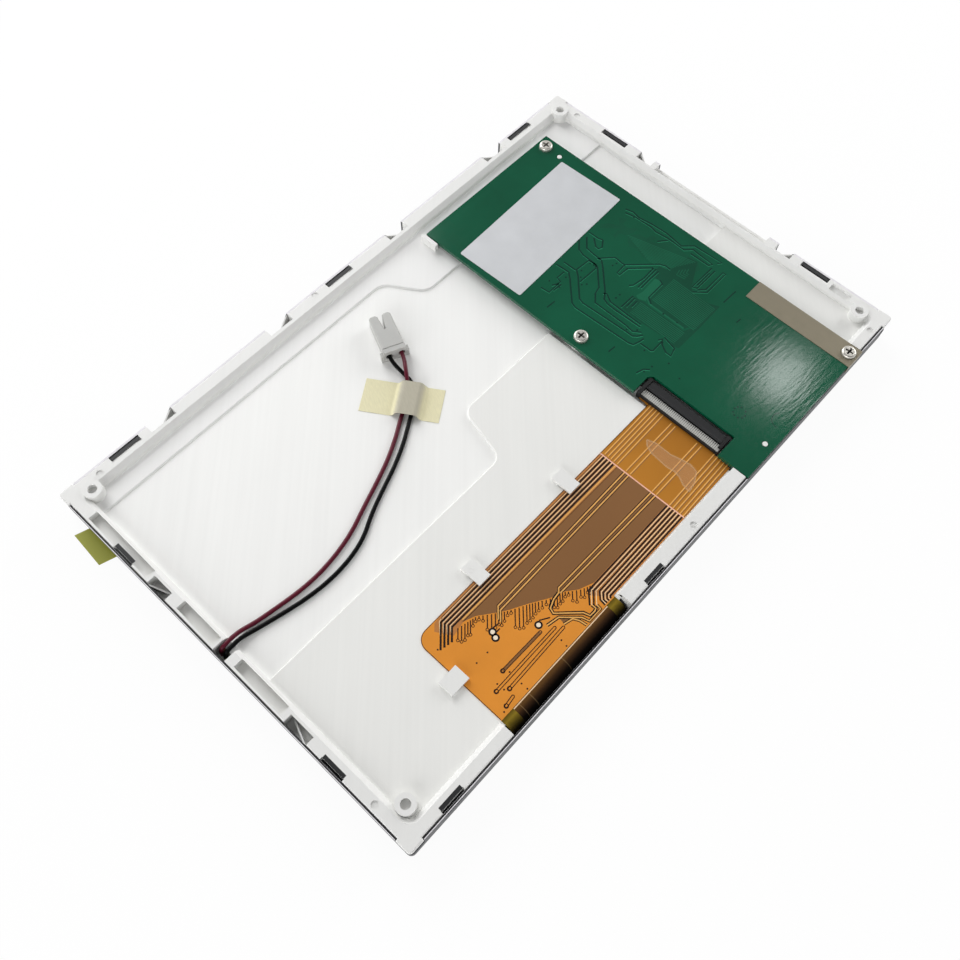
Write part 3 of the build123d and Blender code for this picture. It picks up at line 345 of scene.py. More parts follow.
nickel = simple("nickel_plated_steel", "#d9d6ce", 0.34, 0.6, 0.01, Metallic=0.75)
strap_cloth = simple("conductive_cloth", "#877f6c", 0.45, 0.3, 0.02, Metallic=0.3)
label_film = simple("silver_label_film", "#c8cacd", 0.45, 0.6, 0.004, Metallic=0.1)
nylon = simple("natural_nylon", "#b6b6b3", 0.35, 0.6, 0.01, IOR=1.53)
contact_tin = simple("tinned_contact", "#c4c4bf", 0.4, 0.4, 0.004, Metallic=0.3)
red_sleeve = simple("dark_red_pvc", "#5a1226", 0.36, 2.0, 0.01, Specular_IOR_Level=0.25)
black_sleeve = simple("black_pvc", "#030304", 0.36, 2.0, 0.01, Specular_IOR_Level=0.12)
tape_paper = masking_paper()

finish_of_node = {
    "front_bezel": steel,
    "window_gasket": black_foam,
    "protective_film": clear_film,
    "film_pull_tab": green_film,
    "front_polarizer": polarizer,
    "color_filter_glass": panel_glass,
    "array_glass": panel_glass,
    "rear_polarizer": polarizer,
    "source_driver_chips": silicon,
    "gate_driver_chips": silicon,
    "panel_flex": flex_film,
    "flex_stiffener": flex_film,
    "middle_frame": white_abs,
    "upper_prism_sheet": optical,
    "lower_prism_sheet": optical,
    "diffuser_sheet": optical,
    "light_guide": acrylic,
    "reflector_sheet": optical,
    "led_strip": white_laminate,
    "backlight_leds": phosphor,
    "rear_chassis": white_abs,
    "controller_board": mask,
    "controller_chip": black_epoxy,
    "controller_chip_leads": tin,
    "supply_chip": black_epoxy,
    "supply_inductor": black_epoxy,
    "board_capacitors": ceramic,
    "host_connector": nylon,
    "host_connector_contacts": tin,
    "flex_connector_housing": housing_resin,
    "flex_connector_contacts": contact_tin,
    "flex_connector_lock": lock_resin,
    "board_screws": nickel,
    "ground_strap": strap_cloth,
    "board_label": label_film,
    "lead_plug": nylon,
    "lead_terminals": tin,
    "lead_red": red_sleeve,
    "lead_black": black_sleeve,
    "lead_tape": tape_paper,
}
for name, finish in finish_of_node.items():
    nodes[name].data.materials.clear()
    nodes[name].data.materials.append(finish)


def ride_module(name, data):
    """Object of the module's rigid body."""
    piece = bpy.data.objects.new(name, data)
    scene.collection.objects.link(piece)
    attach(piece, "module")
    return piece


# Leads: each runs from the light source over the left rim and the floor to the plug
LEAD_D = 1.0
LEAD_Z = FLOOR_Z + LEAD_D / 2


def lead(name, route, sleeve):
    """One lead: a smooth line through the route, from the light source to the plug."""
    data = bpy.data.curves.new(name, "CURVE")
    data.dimensions = "3D"
    line = data.splines.new("NURBS")
    line.points.add(len(route) - 1)
    for point, place in zip(line.points, route):
        point.co = (*[v * MM for v in place], 1.0)
    line.order_u = 3
    line.use_endpoint_u = True
    data.bevel_depth = LEAD_D / 2 * MM
    data.bevel_resolution = 5
    data.resolution_u = 16
    data.materials.append(sleeve)
    piece = ride_module(name, data)
    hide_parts(name.replace("wire", "lead"))


red_route = [
    (-83.5, 2.1, 4.4),
    (-83.5, 2.1, 7.3),
    (-80.6, 2.35, LEAD_Z + 1.2),
    (-77.8, 2.5, LEAD_Z + 0.4),
    (-74.3, 1.65, LEAD_Z),
    (-69.0, 0.8, LEAD_Z),
    (-63.4, 0.0, LEAD_Z),
    (-57.5, -0.2, LEAD_Z),
    (-51.5, 0.5, LEAD_Z),
    (-46.0, 1.8, LEAD_Z),
    (-40.2, 4.1, LEAD_Z),
    (-34.1, 6.3, LEAD_Z),
    (-28.0, 8.7, LEAD_Z),
    (-22.4, 11.6, LEAD_Z),
    (-18.0, 14.4, LEAD_Z),
    (-14.0, 16.5, LEAD_Z),
    (-10.5, 19.4, LEAD_Z + 0.5),
    (-8.4, 22.1, 7.7),
    (-6.05, 25.09, 7.3),
    (-5.02, 27.37, 7.3),
]
black_route = [
    (-83.5, 0.75, 4.4),
    (-83.5, 0.75, 7.0),
    (-80.6, 1.1, LEAD_Z + 0.9),
    (-78.2, 1.1, LEAD_Z + 0.5),
    (-75.1, 0.4, LEAD_Z),
    (-69.5, -1.0, LEAD_Z),
    (-63.5, -2.3, LEAD_Z),
    (-57.3, -2.95, LEAD_Z),
    (-51.0, -2.6, LEAD_Z),
    (-45.3, -1.2, LEAD_Z),
    (-40.0, 1.7, LEAD_Z),
    (-34.0, 4.15, LEAD_Z),
    (-28.0, 6.4, LEAD_Z),
    (-22.6, 9.0, LEAD_Z),
    (-18.0, 11.8, LEAD_Z),
    (-14.2, 14.2, LEAD_Z),
    (-10.9, 16.8, LEAD_Z),
    (-9.0, 19.6, LEAD_Z),
    (-8.9, 22.6, LEAD_Z + 0.1),
    (-8.96, 26.4, 7.3),
    (-7.94, 28.68, 7.3),
]
lead("wire_red", red_route, red_sleeve)
lead("wire_black", black_route, black_sleeve)


def node_group(name, inputs):
    """Geometry node tree with named inputs, ready for its nodes."""
    tree = bpy.data.node_groups.new(name, "GeometryNodeTree")
    tree.interface.new_socket(name="Geometry", in_out="OUTPUT", socket_type="NodeSocketGeometry")
    for label, kind in inputs:
        tree.interface.new_socket(name=label, in_out="INPUT", socket_type=kind)
    return tree, add_node(tree, "NodeGroupInput")


def close_group(tree, given, shape):
    """Ends a tree: real mesh, flat faces, one finish."""
    real = add_node(tree, "GeometryNodeRealizeInstances", {"Geometry": shape})
    flat = add_node(
        tree, "GeometryNodeSetShadeSmooth", {"Geometry": real.outputs["Geometry"], "Shade Smooth": False}
    )
    dressed = add_node(
        tree,
        "GeometryNodeSetMaterial",
        {"Geometry": flat.outputs["Geometry"], "Material": given.outputs["Finish"]},
    )
    add_node(tree, "NodeGroupOutput", {"Geometry": dressed.outputs["Geometry"]})
    return tree


def strip_group():
    """A flat bar that follows each path."""
    tree, given = node_group("flat_strips", [
        ("Paths", "NodeSocketGeometry"),
        ("Width", "NodeSocketFloat"),
        ("Height", "NodeSocketFloat"),
        ("Finish", "NodeSocketMaterial"),
    ])
    curve = add_node(tree, "GeometryNodeMeshToCurve", {"Mesh": given.outputs["Paths"]})
    level = add_node(tree, "GeometryNodeSetCurveNormal", {"Curve": curve.outputs["Curve"]}, mode="Z_UP")
    bar = add_node(
        tree,
        "GeometryNodeCurvePrimitiveQuadrilateral",
        {"Width": given.outputs["Width"], "Height": given.outputs["Height"]},
    )
    swept = add_node(
        tree,
        "GeometryNodeCurveToMesh",
        {"Curve": level.outputs["Curve"], "Profile Curve": bar.outputs["Curve"], "Fill Caps": True},
    )
    return close_group(tree, given, swept.outputs["Mesh"])


def dot_group(name, ring):
    """A round disc on each point, or a flat ring."""
    tree, given = node_group(name, [
        ("Points", "NodeSocketGeometry"),
        ("Radius", "NodeSocketFloat"),
        ("Width", "NodeSocketFloat"),
        ("Height", "NodeSocketFloat"),
        ("Finish", "NodeSocketMaterial"),
    ])
    if ring:
        circle = add_node(
            tree, "GeometryNodeCurvePrimitiveCircle", {"Resolution": 20, "Radius": given.outputs["Radius"]}
        )
        bar = add_node(
            tree,
            "GeometryNodeCurvePrimitiveQuadrilateral",
            {"Width": given.outputs["Width"], "Height": given.outputs["Height"]},
        )
        shape = add_node(
            tree,
            "GeometryNodeCurveToMesh",
            {"Curve": circle.outputs["Curve"], "Profile Curve": bar.outputs["Curve"]},
        )
    else:
        shape = add_node(
            tree,
            "GeometryNodeMeshCylinder",
            {"Vertices": 20, "Radius": given.outputs["Radius"], "Depth": given.outputs["Height"]},
        )
    points = add_node(tree, "GeometryNodeMeshToPoints", {"Mesh": given.outputs["Points"]})
    placed = add_node(
        tree,
        "GeometryNodeInstanceOnPoints",
        {"Points": points.outputs["Points"], "Instance": shape.outputs["Mesh"]},
    )
    return close_group(tree, given, placed.outputs["Instances"])


STRIPS = strip_group()
DISCS = dot_group("flat_discs", False)
RINGS = dot_group("flat_rings", True)


def vertices(points):
    """Places in millimetres as mesh vertices."""
    return [(x * MM, y * MM, z * MM) for x, y, z in points]


def grown(name, verts, edges, group, values):
    """Mesh of the module's body that a node tree grows on points or paths in millimetres."""
    source = bpy.data.meshes.new(name + "_source")
    source.from_pydata(vertices(verts), edges, [])
    work = bpy.data.objects.new(name + "_work", source)
    scene.collection.objects.link(work)
    growth = work.modifiers.new("grown", "NODES")
    growth.node_group = group
    for socket in group.interface.items_tree:
        if socket.in_out == "INPUT" and socket.name in values:
            growth[socket.identifier] = values[socket.name]
    graph = bpy.context.evaluated_depsgraph_get()
    mesh = bpy.data.meshes.new_from_object(work.evaluated_get(graph), depsgraph=graph)
    mesh.name = name
    bpy.data.objects.remove(work)
    ride_module(name, mesh)


def strips(name, paths, width, base, height, finish, closed=False):
    """Flat raised strips, one along each path."""
    verts, edges = [], []
    for path in paths:
        first, count = len(verts), len(path)
        verts += [(x, y, base + height / 2) for x, y in path]
        edges += [(first + i, first + (i + 1) % count) for i in range(count if closed else count - 1)]
    grown(name, verts, edges, STRIPS, {"Width": width * MM, "Height": height * MM, "Finish": finish})


def dots(name, places, radius, base, height, finish, ring=0.0):
    """Flat round discs, or rings of a given width."""
    values = {"Radius": radius * MM, "Width": ring * MM, "Height": height * MM, "Finish": finish}
    verts = [(x, y, base + height / 2) for x, y in places]
    grown(name, verts, [], RINGS if ring else DISCS, values)


def patches(name, outlines, base, height, finish):
    """Flat raised fields, one in each outline."""
    verts, faces = [], []
    for outline in outlines:
        points = [Vector(p) for p in outline]
        area = sum(a.cross(b) for a, b in zip(points, points[1:] + points[:1]))
        if area < 0:
            points.reverse()
        first, count = len(verts), len(points)
        verts += [(p.x, p.y, base + height) for p in points] + [(p.x, p.y, base) for p in points]
        faces.append(tuple(range(first, first + count)))
        for i in range(count):
            a, b = first + i, first + (i + 1) % count
            faces.append((a, a + count, b + count, b))
    mesh = bpy.data.meshes.new(name)
    mesh.from_pydata(vertices(verts), [], faces)
    mesh.materials.append(finish)
    ride_module(name, mesh)


def arc(x, y, radius, angles):
    """Points round a centre, at angles in radians."""
    return [(x + radius * math.cos(a), y + radius * math.sin(a)) for a in angles]


def capsule(start, stop, radius):
    """Outline round a line with round ends."""
    angle = math.atan2(stop[1] - start[1], stop[0] - start[0])
    half_turn = [math.pi * i / 6 for i in range(7)]
    front = arc(*stop, radius, [angle - math.pi / 2 + turn for turn in half_turn])
    back = arc(*start, radius, [angle + math.pi / 2 + turn for turn in half_turn])
    return front + back


# Board: edges of the copper areas, seen through the lacquer. Overlapping layers differ in height
copper_edges = [
    [(39.9, 16.4), (40.1, 14.3), (40.2, 12.4), (38.6, 10.6), (33.6, 5.7), (33.1, 4.3), (34.0, -11.9),
     (34.4, -13.2), (36.0, -13.7), (37.5, -14.0)],
    [(41.8, 15.4), (41.9, 11.9), (42.0, 11.3), (40.9, 9.9), (35.8, 5.1), (35.4, 3.7), (36.2, -9.5),
     (36.2, -11.4), (37.0, -12.4), (38.2, -13.2)],
    [(50.2, 17.4), (47.5, 15.2), (46.9, 13.3), (46.8, 9.8), (46.5, 8.2), (41.8, 3.8), (39.8, 3.3),
     (37.6, 1.5), (37.6, -8.1), (37.3, -10.6), (38.6, -12.4)],
    [(52.0, 16.4), (49.2, 14.0), (48.9, 11.2), (48.8, 8.8), (47.4, 7.2), (41.8, 1.8), (40.0, 0.6),
     (39.4, -0.9), (39.3, -3.3), (39.6, -11.2)],
    [(40.3, -10.9), (40.3, -6.0), (40.4, -1.1), (41.7, 1.2), (41.1, 1.9)],
    [(53.0, 14.8), (51.2, 12.7), (51.1, 11.7), (52.1, 11.3), (54.1, 12.7)],
    [(53.6, 17.0), (53.7, 13.8), (54.1, 12.8)],
    [(48.5, 9.9), (49.6, 9.0), (51.9, 6.8), (51.7, 4.4), (51.8, 3.6), (58.1, -2.8), (58.7, -4.3),
     (58.6, -5.7)],
    [(51.7, 3.6), (48.5, 3.4), (48.4, 2.5), (51.4, 2.3), (56.0, -2.3)],
    [(56.0, -2.4), (51.9, -2.6), (48.3, -2.0), (47.5, -1.3)],
    [(56.2, -3.1), (52.2, -3.2), (48.6, -3.3)],
    [(56.1, -4.0), (52.9, -3.9), (49.0, -4.0)],
    [(66.1, 15.0), (66.7, 12.8), (66.3, 10.6), (66.9, 6.7), (67.2, 2.1), (66.5, -3.2), (68.9, -5.7),
     (69.0, -7.5), (69.4, -14.1), (68.4, -13.3)],
    [(65.1, 14.2), (65.8, 11.1), (66.0, 6.4), (65.6, 4.4), (66.1, 0.7), (66.0, -4.5), (67.7, -6.1),
     (67.5, -7.8), (67.3, -12.6), (66.3, -12.0), (66.2, -6.4)],
    [(65.7, 0.4), (63.4, 2.2)],
    [(66.2, -13.2), (58.1, -13.1), (58.6, -14.3), (66.1, -14.3)],
    [(64.6, -13.7), (59.3, -13.7)],
    [(56.9, -14.1), (59.4, -16.9), (67.1, -16.9), (67.0, -16.1), (59.8, -16.1), (58.2, -14.6)],
    [(42.2, 11.5), (46.5, 11.1), (46.8, 9.0), (45.9, 8.2), (39.9, 8.4)],
    [(39.5, 13.3), (36.9, 13.4), (36.5, 12.0), (32.1, 11.9), (31.8, 14.4)],
    [(34.2, 12.8), (35.8, 11.9)],
    [(33.3, 11.5), (36.0, 11.3)],
    [(35.9, -14.2), (36.0, -17.4), (36.4, -17.8), (39.9, -17.7), (40.7, -17.4), (39.6, -16.8)],
    [(40.0, -17.9), (39.3, -18.2), (38.1, -20.3), (38.1, -21.9), (40.4, -21.2), (41.3, -17.4)],
    [(54.2, -5.9), (53.6, -7.1), (48.0, -7.2), (46.8, -8.9)],
    [(41.1, -4.0), (45.7, -4.1)],
    [(42.1, -4.9), (45.5, -4.8)],
    [(43.0, -5.9), (45.1, -5.8)],
    [(46.5, 24.0), (49.5, 27.5), (50.8, 31.5), (50.5, 34.5)],
    [(28.6, -18.8), (30.6, -19.4), (31.6, -20.6)],
]
strips("copper_edges", copper_edges, 0.42, BOARD_TOP, 0.011, mask_groove)
# Painted highlight along one side of each copper edge, beside its dark line
lit_edges = [[(x - 0.24, y - 0.2) for x, y in path] for path in copper_edges]
strips("lit_copper_edges", lit_edges, 0.22, BOARD_TOP, 0.0095, mask_lit)

# Board: fields of fine tracks, with the nearest tracks drawn out on them
fine_field = [
    [(47.7, -7.6), (46.6, -9.1), (46.7, -19.5), (47.6, -19.8), (49.1, -22.0), (58.1, -21.8), (56.8, -19.0),
     (56.8, -14.3), (58.0, -12.9), (61.6, -11.2), (65.3, -9.3), (64.8, -6.7), (58.6, -5.9), (58.2, -3.1),
     (56.2, -3.1), (53.7, -4.8), (54.2, -5.9), (53.5, -7.1)],
    [(40.9, -5.5), (41.1, -4.0), (42.5, -4.2), (45.4, -3.9), (46.3, -7.3), (46.0, -9.1), (46.0, -19.6),
     (47.6, -20.4), (49.1, -22.0), (41.2, -21.9), (40.7, -20.7), (41.9, -18.0), (41.2, -16.1),
     (40.8, -10.6)],
]
dense_field = [
    [(62.7, 14.7), (63.7, 12.5), (61.7, 12.2), (61.5, 10.6), (63.4, 8.6), (61.5, 8.5), (59.7, 9.1),
     (58.5, 11.0), (56.7, 10.8), (57.0, 11.7), (58.8, 11.9), (60.0, 11.8), (58.6, 13.6), (56.6, 15.7),
     (57.5, 16.5), (59.4, 15.2), (60.5, 12.9), (61.4, 13.0)],
    [(62.7, 4.9), (64.1, 4.3), (64.1, 3.1), (62.8, 3.3), (62.2, 4.5)],
    [(59.7, 9.1), (62.1, 6.9), (62.6, 2.0), (63.8, 1.6), (65.6, -0.2), (65.5, -2.8), (65.2, -5.4),
     (65.2, -9.4), (63.7, -11.3), (60.7, -10.4), (59.1, -13.3), (57.3, -14.2), (56.7, -11.9), (55.7, -6.3),
     (55.4, -3.7), (58.0, -5.3), (57.1, -0.4), (57.0, 2.0), (58.0, 4.5), (57.0, 6.5), (58.0, 7.5)],
]
light_island = [
    [(48.3, -5.0), (53.7, -4.7), (54.0, -5.9), (53.4, -6.9), (48.0, -7.0), (46.7, -7.3), (45.9, -5.6),
     (46.3, -4.5)],
]
DENSE_T = 0.004
patches("fine_track_field", fine_field, BOARD_TOP, 0.006, mask_field)
patches("dense_track_field", dense_field, BOARD_TOP, DENSE_T, mask_dense)
fine_tracks = []
for k in range(13):
    share = k / 12
    start = (59.7 - 2.7 * share, 9.1 - 9.0 * share)
    fine_tracks.append([start, (64.8 - 6.7 * share, -9.0 + 4.0 * share)])
for k in range(4):
    start = (61.9 - 0.6 * k, -9.1 + 0.5 * k)
    fine_tracks.append([start, (60.5 - 0.7 * k, -9.4 + 0.5 * k), (60.6 - 0.6 * k, -10.2)])
fine_tracks += [[(48.2 + 0.5 * k, -8.2), (48.0 + 0.5 * k, -21.4)] for k in range(18)]
fine_tracks += [[(41.4 + 0.5 * k, -6.6), (41.6 + 0.5 * k, -20.2)] for k in range(9)]
light_gap = [(48.2, -6.3), (46.6, -8.6), (46.6, -19.2)]
strips("fine_tracks", fine_tracks, 0.2, BOARD_TOP + DENSE_T, 0.004, mask_track)
strips("light_gap", [light_gap], 0.45, BOARD_TOP + DENSE_T, 0.005, mask_track)
patches("light_island", light_island, BOARD_TOP, 0.008, mask_track)

# Board: vias, and the bare places of the part marks
vias = [
    (46.1, 10.3), (46.3, 9.2), (42.8, 10.4), (41.1, 9.2), (39.5, 7.5), (40.5, 6.7), (49.5, 5.7),
    (50.7, 5.4), (42.3, -1.3), (43.7, -1.4), (36.8, -9.2), (38.4, -11.2), (46.6, -12.9), (46.9, -17.0),
    (34.8, 14.2), (38.5, 11.9), (35.0, 11.1), (65.5, 11.6), (35.0, -16.2), (32.6, -20.4),
    (34.5, -27.3), (36.1, -22.8), (30.2, -19.9),
]
vias += arc(36.8, -43.3, 1.5, (0.3, 0.9, 1.5, 2.2, 2.8, 3.5, 4.2, 4.8, 5.6))
marks = [
    [(28.3, 9.3), (31.0, 9.1)],
    [(28.7, -10.1), (30.9, -10.3)],
    [(59.7, -21.7), (64.6, -21.9)],
    [(57.0, -27.6), (58.6, -27.8)],
]
dots("vias", vias, 0.24, BOARD_TOP, 0.014, mask_groove)
strips("part_marks", marks, 0.35, BOARD_TOP, 0.008, mask_groove)
round_mark = arc(41.6, -51.7, 2.1, [0.25 * k for k in range(3, 14)])
strips("round_mark", [round_mark], 0.2, BOARD_TOP, 0.006, mask_groove)

# Flexible circuit: finishes of its layers
copper_brown = simple("polyimide_over_copper", "#83592f", 0.4, 3.0, 0.01)
film_orange = simple("polyimide_bare", "#b5763a", 0.4, 3.0, 0.01)
gap_black = simple("conductor_gap", "#1a0903", 0.5, 2.0, 0.004, IOR=1.35)
line_gold = simple("conductor_gold", "#e6ac5a", 0.4, 2.0, 0.004)
line_pale = simple("lit_conductor", "#fadcae", 0.4, 2.0, 0.004)
etched_brown = simple("etched_outline", "#331a0c", 0.5, 2.0, 0.004, IOR=1.35)
bare_tin = simple("tinned_test_point", "#f4e6cf", 0.35, 1.0, 0.004)
film_pink = simple("cover_film_edge", "#f0b9a0", 0.4, 2.0, 0.004)

# Flexible circuit: fields of copper. The long lines lie on the dense field
DENSE_FIELD_T = 0.007
LINES_Z = FLEX_TOP_Z + DENSE_FIELD_T
LINE_T = 0.006
UNDER_LINE_T = 0.005
BAND_T = 0.004
border_band = [
    (7.0, -26.0), (7.0, -31.2), (-44.4, -30.6), (-47.8, -31.2), (-50.0, -27.6), (-48.6, -26.3),
    (-46.0, -26.0),
]
copper_field = [
    (7.0, -31.2), (7.2, -45.2), (-18.4, -45.2), (-21.9, -43.8), (-24.4, -41.8), (-27.3, -40.7),
    (-31.9, -37.9), (-35.6, -35.9), (-37.8, -34.4), (-41.5, -31.6), (-44.7, -30.3),
]
patches("flex_border_band", [border_band], FLEX_TOP_Z, BAND_T, film_orange)
patches("flex_dense_field", [copper_field], FLEX_TOP_Z, DENSE_FIELD_T, copper_brown)

# Border conductors: they run along the edge, then turn off to their soldering ends
SLANT = Vector((-0.728, -0.686))
gap_lines = []
for k, (near, far) in enumerate([(-27.3, -27.2), (-28.2, -28.0), (-29.1, -28.8), (-30.0, -29.6)]):
    turn = Vector((-47.6 + 0.3 * k, far))
    gap_lines.append([(COVER_EDGE_X, near), turn, turn + SLANT * (6.0 - 0.9 * k)])
strips("flex_gap_lines", gap_lines, 0.46, LINES_Z, LINE_T, gap_black)
# Painted highlight along the middle of each conductor
pale_lines = [[(a, b + 0.45) for a, b in path[:2]] + [path[2] + Vector((0.3, 0.33))] for path in gap_lines]
strips("flex_pale_lines", pale_lines, 0.14, LINES_Z, UNDER_LINE_T, line_pale)
thin_gaps = [
    [(COVER_EDGE_X, -31.1), (-44.2, -30.5)],
    [(COVER_EDGE_X, -26.6), (-46.6, -26.55), (-49.0, -28.6)],
]
strips("flex_thin_gaps", thin_gaps, 0.14, LINES_Z, LINE_T, etched_brown)
gold_lines = [[(COVER_EDGE_X, -30.6), (-44.0, -30.1)]]
for start_y, turn, reach in [
    (-33.2, (-36.6, -33.6), 3.0),
    (-34.35, (-36.9, -34.55), 2.6),
    (-40.8, (-24.6, -40.4), 1.2),
    (-42.0, (-25.0, -41.4), 0.3),
]:
    gold_lines.append([(COVER_EDGE_X, start_y), turn, Vector(turn) + SLANT * reach])
strips("flex_gold_lines", gold_lines, 0.28, LINES_Z, LINE_T, line_gold)
gold_borders = []
for path in gold_lines[1:]:
    for shift in (-0.3, 0.3):
        gold_borders.append([Vector(point) + Vector((0, shift)) for point in path])
strips("flex_gold_borders", gold_borders, 0.16, LINES_Z, UNDER_LINE_T, etched_brown)

# The same conductors under the cover film, up to the connector
film_lines = [[(7.4, y), (28.0, y + 0.35)] for y in (-26.9, -27.8, -28.7, -29.6, -30.6)]
film_lines += [[(7.4, y), (24.4, y + 0.1)] for y in (-33.2, -34.4, -40.8, -42.0)]
film_lines += [[(7.4, y), (28.0, y + 0.5)] for y in (-45.8, -46.8, -47.8, -48.8, -49.7)]
film_borders = [[(x, y - 0.27) for x, y in path] for path in film_lines]
strips("flex_film_lines", film_lines, 0.26, FLEX_TOP_Z, LINE_T, line_gold)
strips("flex_film_borders", film_borders, 0.2, FLEX_TOP_Z, UNDER_LINE_T, copper_brown)
strips("flex_cover_edge", [[(6.8, -26.0), (7.2, -50.1)]], 0.3, FLEX_TOP_Z + 0.01, 0.01, film_pink)

# Lower group: black gaps between orange conductors, which turn off to the fold
lower_band = [
    (COVER_EDGE_X, -45.2), (COVER_EDGE_X, -50.15), (-18.2, -50.15), (-21.4, -46.3), (-20.4, -45.2),
]
patches("flex_lower_band", [lower_band], FLEX_TOP_Z, BAND_T, film_orange)
low_lines = []
for k, bends in enumerate([
    [(-20.6, -45.5), (-22.9, -47.7), (-22.95, -47.9)],
    [(-19.9, -46.35), (-22.3, -48.4), (-22.3, -48.6)],
    [(-19.1, -47.3), (-20.5, -48.7), (-20.7, -50.2)],
    [(-18.8, -48.1), (-20.0, -49.2), (-20.0, -50.2)],
    [(-18.5, -48.9), (-19.3, -49.6), (-19.3, -50.2)],
    [(-18.3, -49.7), (-18.6, -49.95), (-18.6, -50.2)],
]):
    low_lines.append([Vector(point) for point in [(COVER_EDGE_X, -45.45 - 0.85 * k), *bends]])
strips("flex_lower_gaps", low_lines, 0.4, LINES_Z, LINE_T, gap_black)
# Painted highlight along the middle of each conductor
low_pale = [[(a + b) / 2 for a, b in zip(low_lines[k], low_lines[k + 1])] for k in (0, 2, 3, 4)]
low_pale.append([(COVER_EDGE_X, -46.72), (-19.6, -46.75), (-21.9, -48.9)])
strips("flex_lower_pale", low_pale, 0.16, LINES_Z, UNDER_LINE_T, line_pale)

# Conductors that come back from the lower group to the dense field
first_return = [
    (-22.6, -48.1), (-22.6, -49.2), (-23.2, -49.45), (-24.7, -49.4), (-25.2, -47.9), (-29.7, -43.3),
    (-29.3, -42.1), (-27.3, -41.3), (-25.4, -41.1),
]
second_return = [
    (-21.9, -48.9), (-22.0, -50.05), (-25.7, -50.05), (-26.2, -48.4), (-29.6, -44.7), (-32.6, -44.1),
]
third_return = [(-30.0, -46.5), (-27.8, -47.1), (-27.1, -48.4), (-26.8, -50.2)]
returns = [first_return, second_return, third_return]
flex_plane = [(-29.6, -44.7), (-27.2, -47.1), (-29.9, -46.6)]
strips("flex_bundle", [first_return], 0.9, FLEX_TOP_Z, 0.009, gap_black)
strips("flex_second_return", [second_return], 0.8, FLEX_TOP_Z, 0.008, gap_black)
strips("flex_third_return", [third_return], 0.7, FLEX_TOP_Z, 0.007, gap_black)
strips("flex_return_cores", returns, 0.3, FLEX_TOP_Z, 0.0125, line_gold)
patches("flex_plane", [flex_plane], FLEX_TOP_Z, 0.006, copper_brown)

# Rows of short ends beyond the dense field, each with a ring at its tip
ROW_WAVE = 0.22
field_edge = [
    Vector(point)
    for point in [
        (-46.4, -30.6), (-44.7, -31.0), (-41.5, -31.8), (-37.8, -34.6), (-35.6, -36.1), (-31.9, -38.1),
        (-27.3, -40.9), (-24.4, -42.0), (-21.9, -44.0), (-18.6, -45.5),
    ]
]
end_reach = [
    2.4, 3.2, 3.3, 2.7, 2.9, 1.3, 0.7, 0.5, 0.9, 3.0, 3.3, 2.9, 2.3, 2.6, 1.8, 0.7, 0.4, 3.8, 4.4, 4.5, 3.7,
    3.4, 2.9, 2.2, 1.7, 1.3, 0.8, 1.2, 2.0, 2.4, 1.8, 1.5, 0.8, 0.5, 1.9, 2.3, 1.4, 1.8, 1.0, 1.4, 0.8,
]
walked = [0.0]
for start, stop in zip(field_edge, field_edge[1:]):
    walked.append(walked[-1] + (stop - start).length)
short_ends, end_rings = [], []
for i, reach in enumerate(end_reach):
    along = walked[-1] * (i + 0.5) / len(end_reach) + ROW_WAVE * math.sin(7 * i)
    k = max(j for j in range(len(walked) - 1) if walked[j] <= along)
    share = (along - walked[k]) / (walked[k + 1] - walked[k])
    point = field_edge[k] + (field_edge[k + 1] - field_edge[k]) * share
    short_ends.append([point, point + SLANT * reach])
    end_rings.append(point + SLANT * (reach + 0.26))
strips("flex_short_ends", short_ends, 0.27, FLEX_TOP_Z, 0.009, etched_brown)
dots("flex_end_rings", end_rings, 0.3, FLEX_TOP_Z, 0.009, etched_brown, ring=0.16)

# Spare conductors on the bare film
spares = [
    ((-34.7, -44.0), (-46.3, -43.8)),
    ((-31.9, -45.6), (-50.4, -45.7)),
    ((-30.6, -46.9), (-48.1, -47.3)),
    ((-48.8, -48.9), (-51.2, -49.2)),
]
outlines = [capsule(start, stop, 0.3) for start, stop in spares]
strips("flex_spares", outlines, 0.2, FLEX_TOP_Z, 0.01, etched_brown, closed=True)
strips("flex_spare_core", [list(spares[0])], 0.36, FLEX_TOP_Z, 0.006, copper_brown)
spare_tips = [stop for start, stop in spares]
dots("flex_spare_ends", spare_tips, 0.46, FLEX_TOP_Z, 0.01, etched_brown, ring=0.2)
flex_dots = [
    (-52.3, -30.8), (-48.8, -38.7), (-45.6, -38.8), (-45.5, -45.0), (-49.1, -44.8), (-45.6, -48.4),
    (-45.6, -50.0), (-49.0, -46.6), (-33.0, -48.4), (-33.2, -50.0), (-52.4, -49.7),
]
dots("flex_dots", flex_dots, 0.2, FLEX_TOP_Z, 0.006, etched_brown)

# Round test points with their dark rings
test_points = [(-41.6, -36.6), (-42.1, -37.9), (-33.8, -42.7)]
test_tracks = [
    [(-40.9, -36.0), (-39.4, -36.3)],
    [(-41.5, -37.2), (-40.0, -37.2)],
    [(-33.0, -42.1), (-30.9, -43.4)],
]
dots("flex_test_rings", test_points, 0.92, FLEX_TOP_Z, 0.01, gap_black)
dots("flex_test_points", test_points, 0.5, FLEX_TOP_Z + 0.01, 0.01, bare_tin)
strips("flex_test_tracks", test_tracks, 0.3, FLEX_TOP_Z, 0.008, gap_black)

# Dark edge of the film, round its free corner
edge_path = [(28.0, -25.98), (-51.1, -25.98)]
edge_path += arc(-51.1, -28.9, 2.92, [math.radians(a) for a in range(105, 181, 15)])
edge_path += [(-54.02, -50.3)]
strips("flex_outline", [edge_path], 0.16, FLEX_TOP_Z, 0.008, etched_brown)

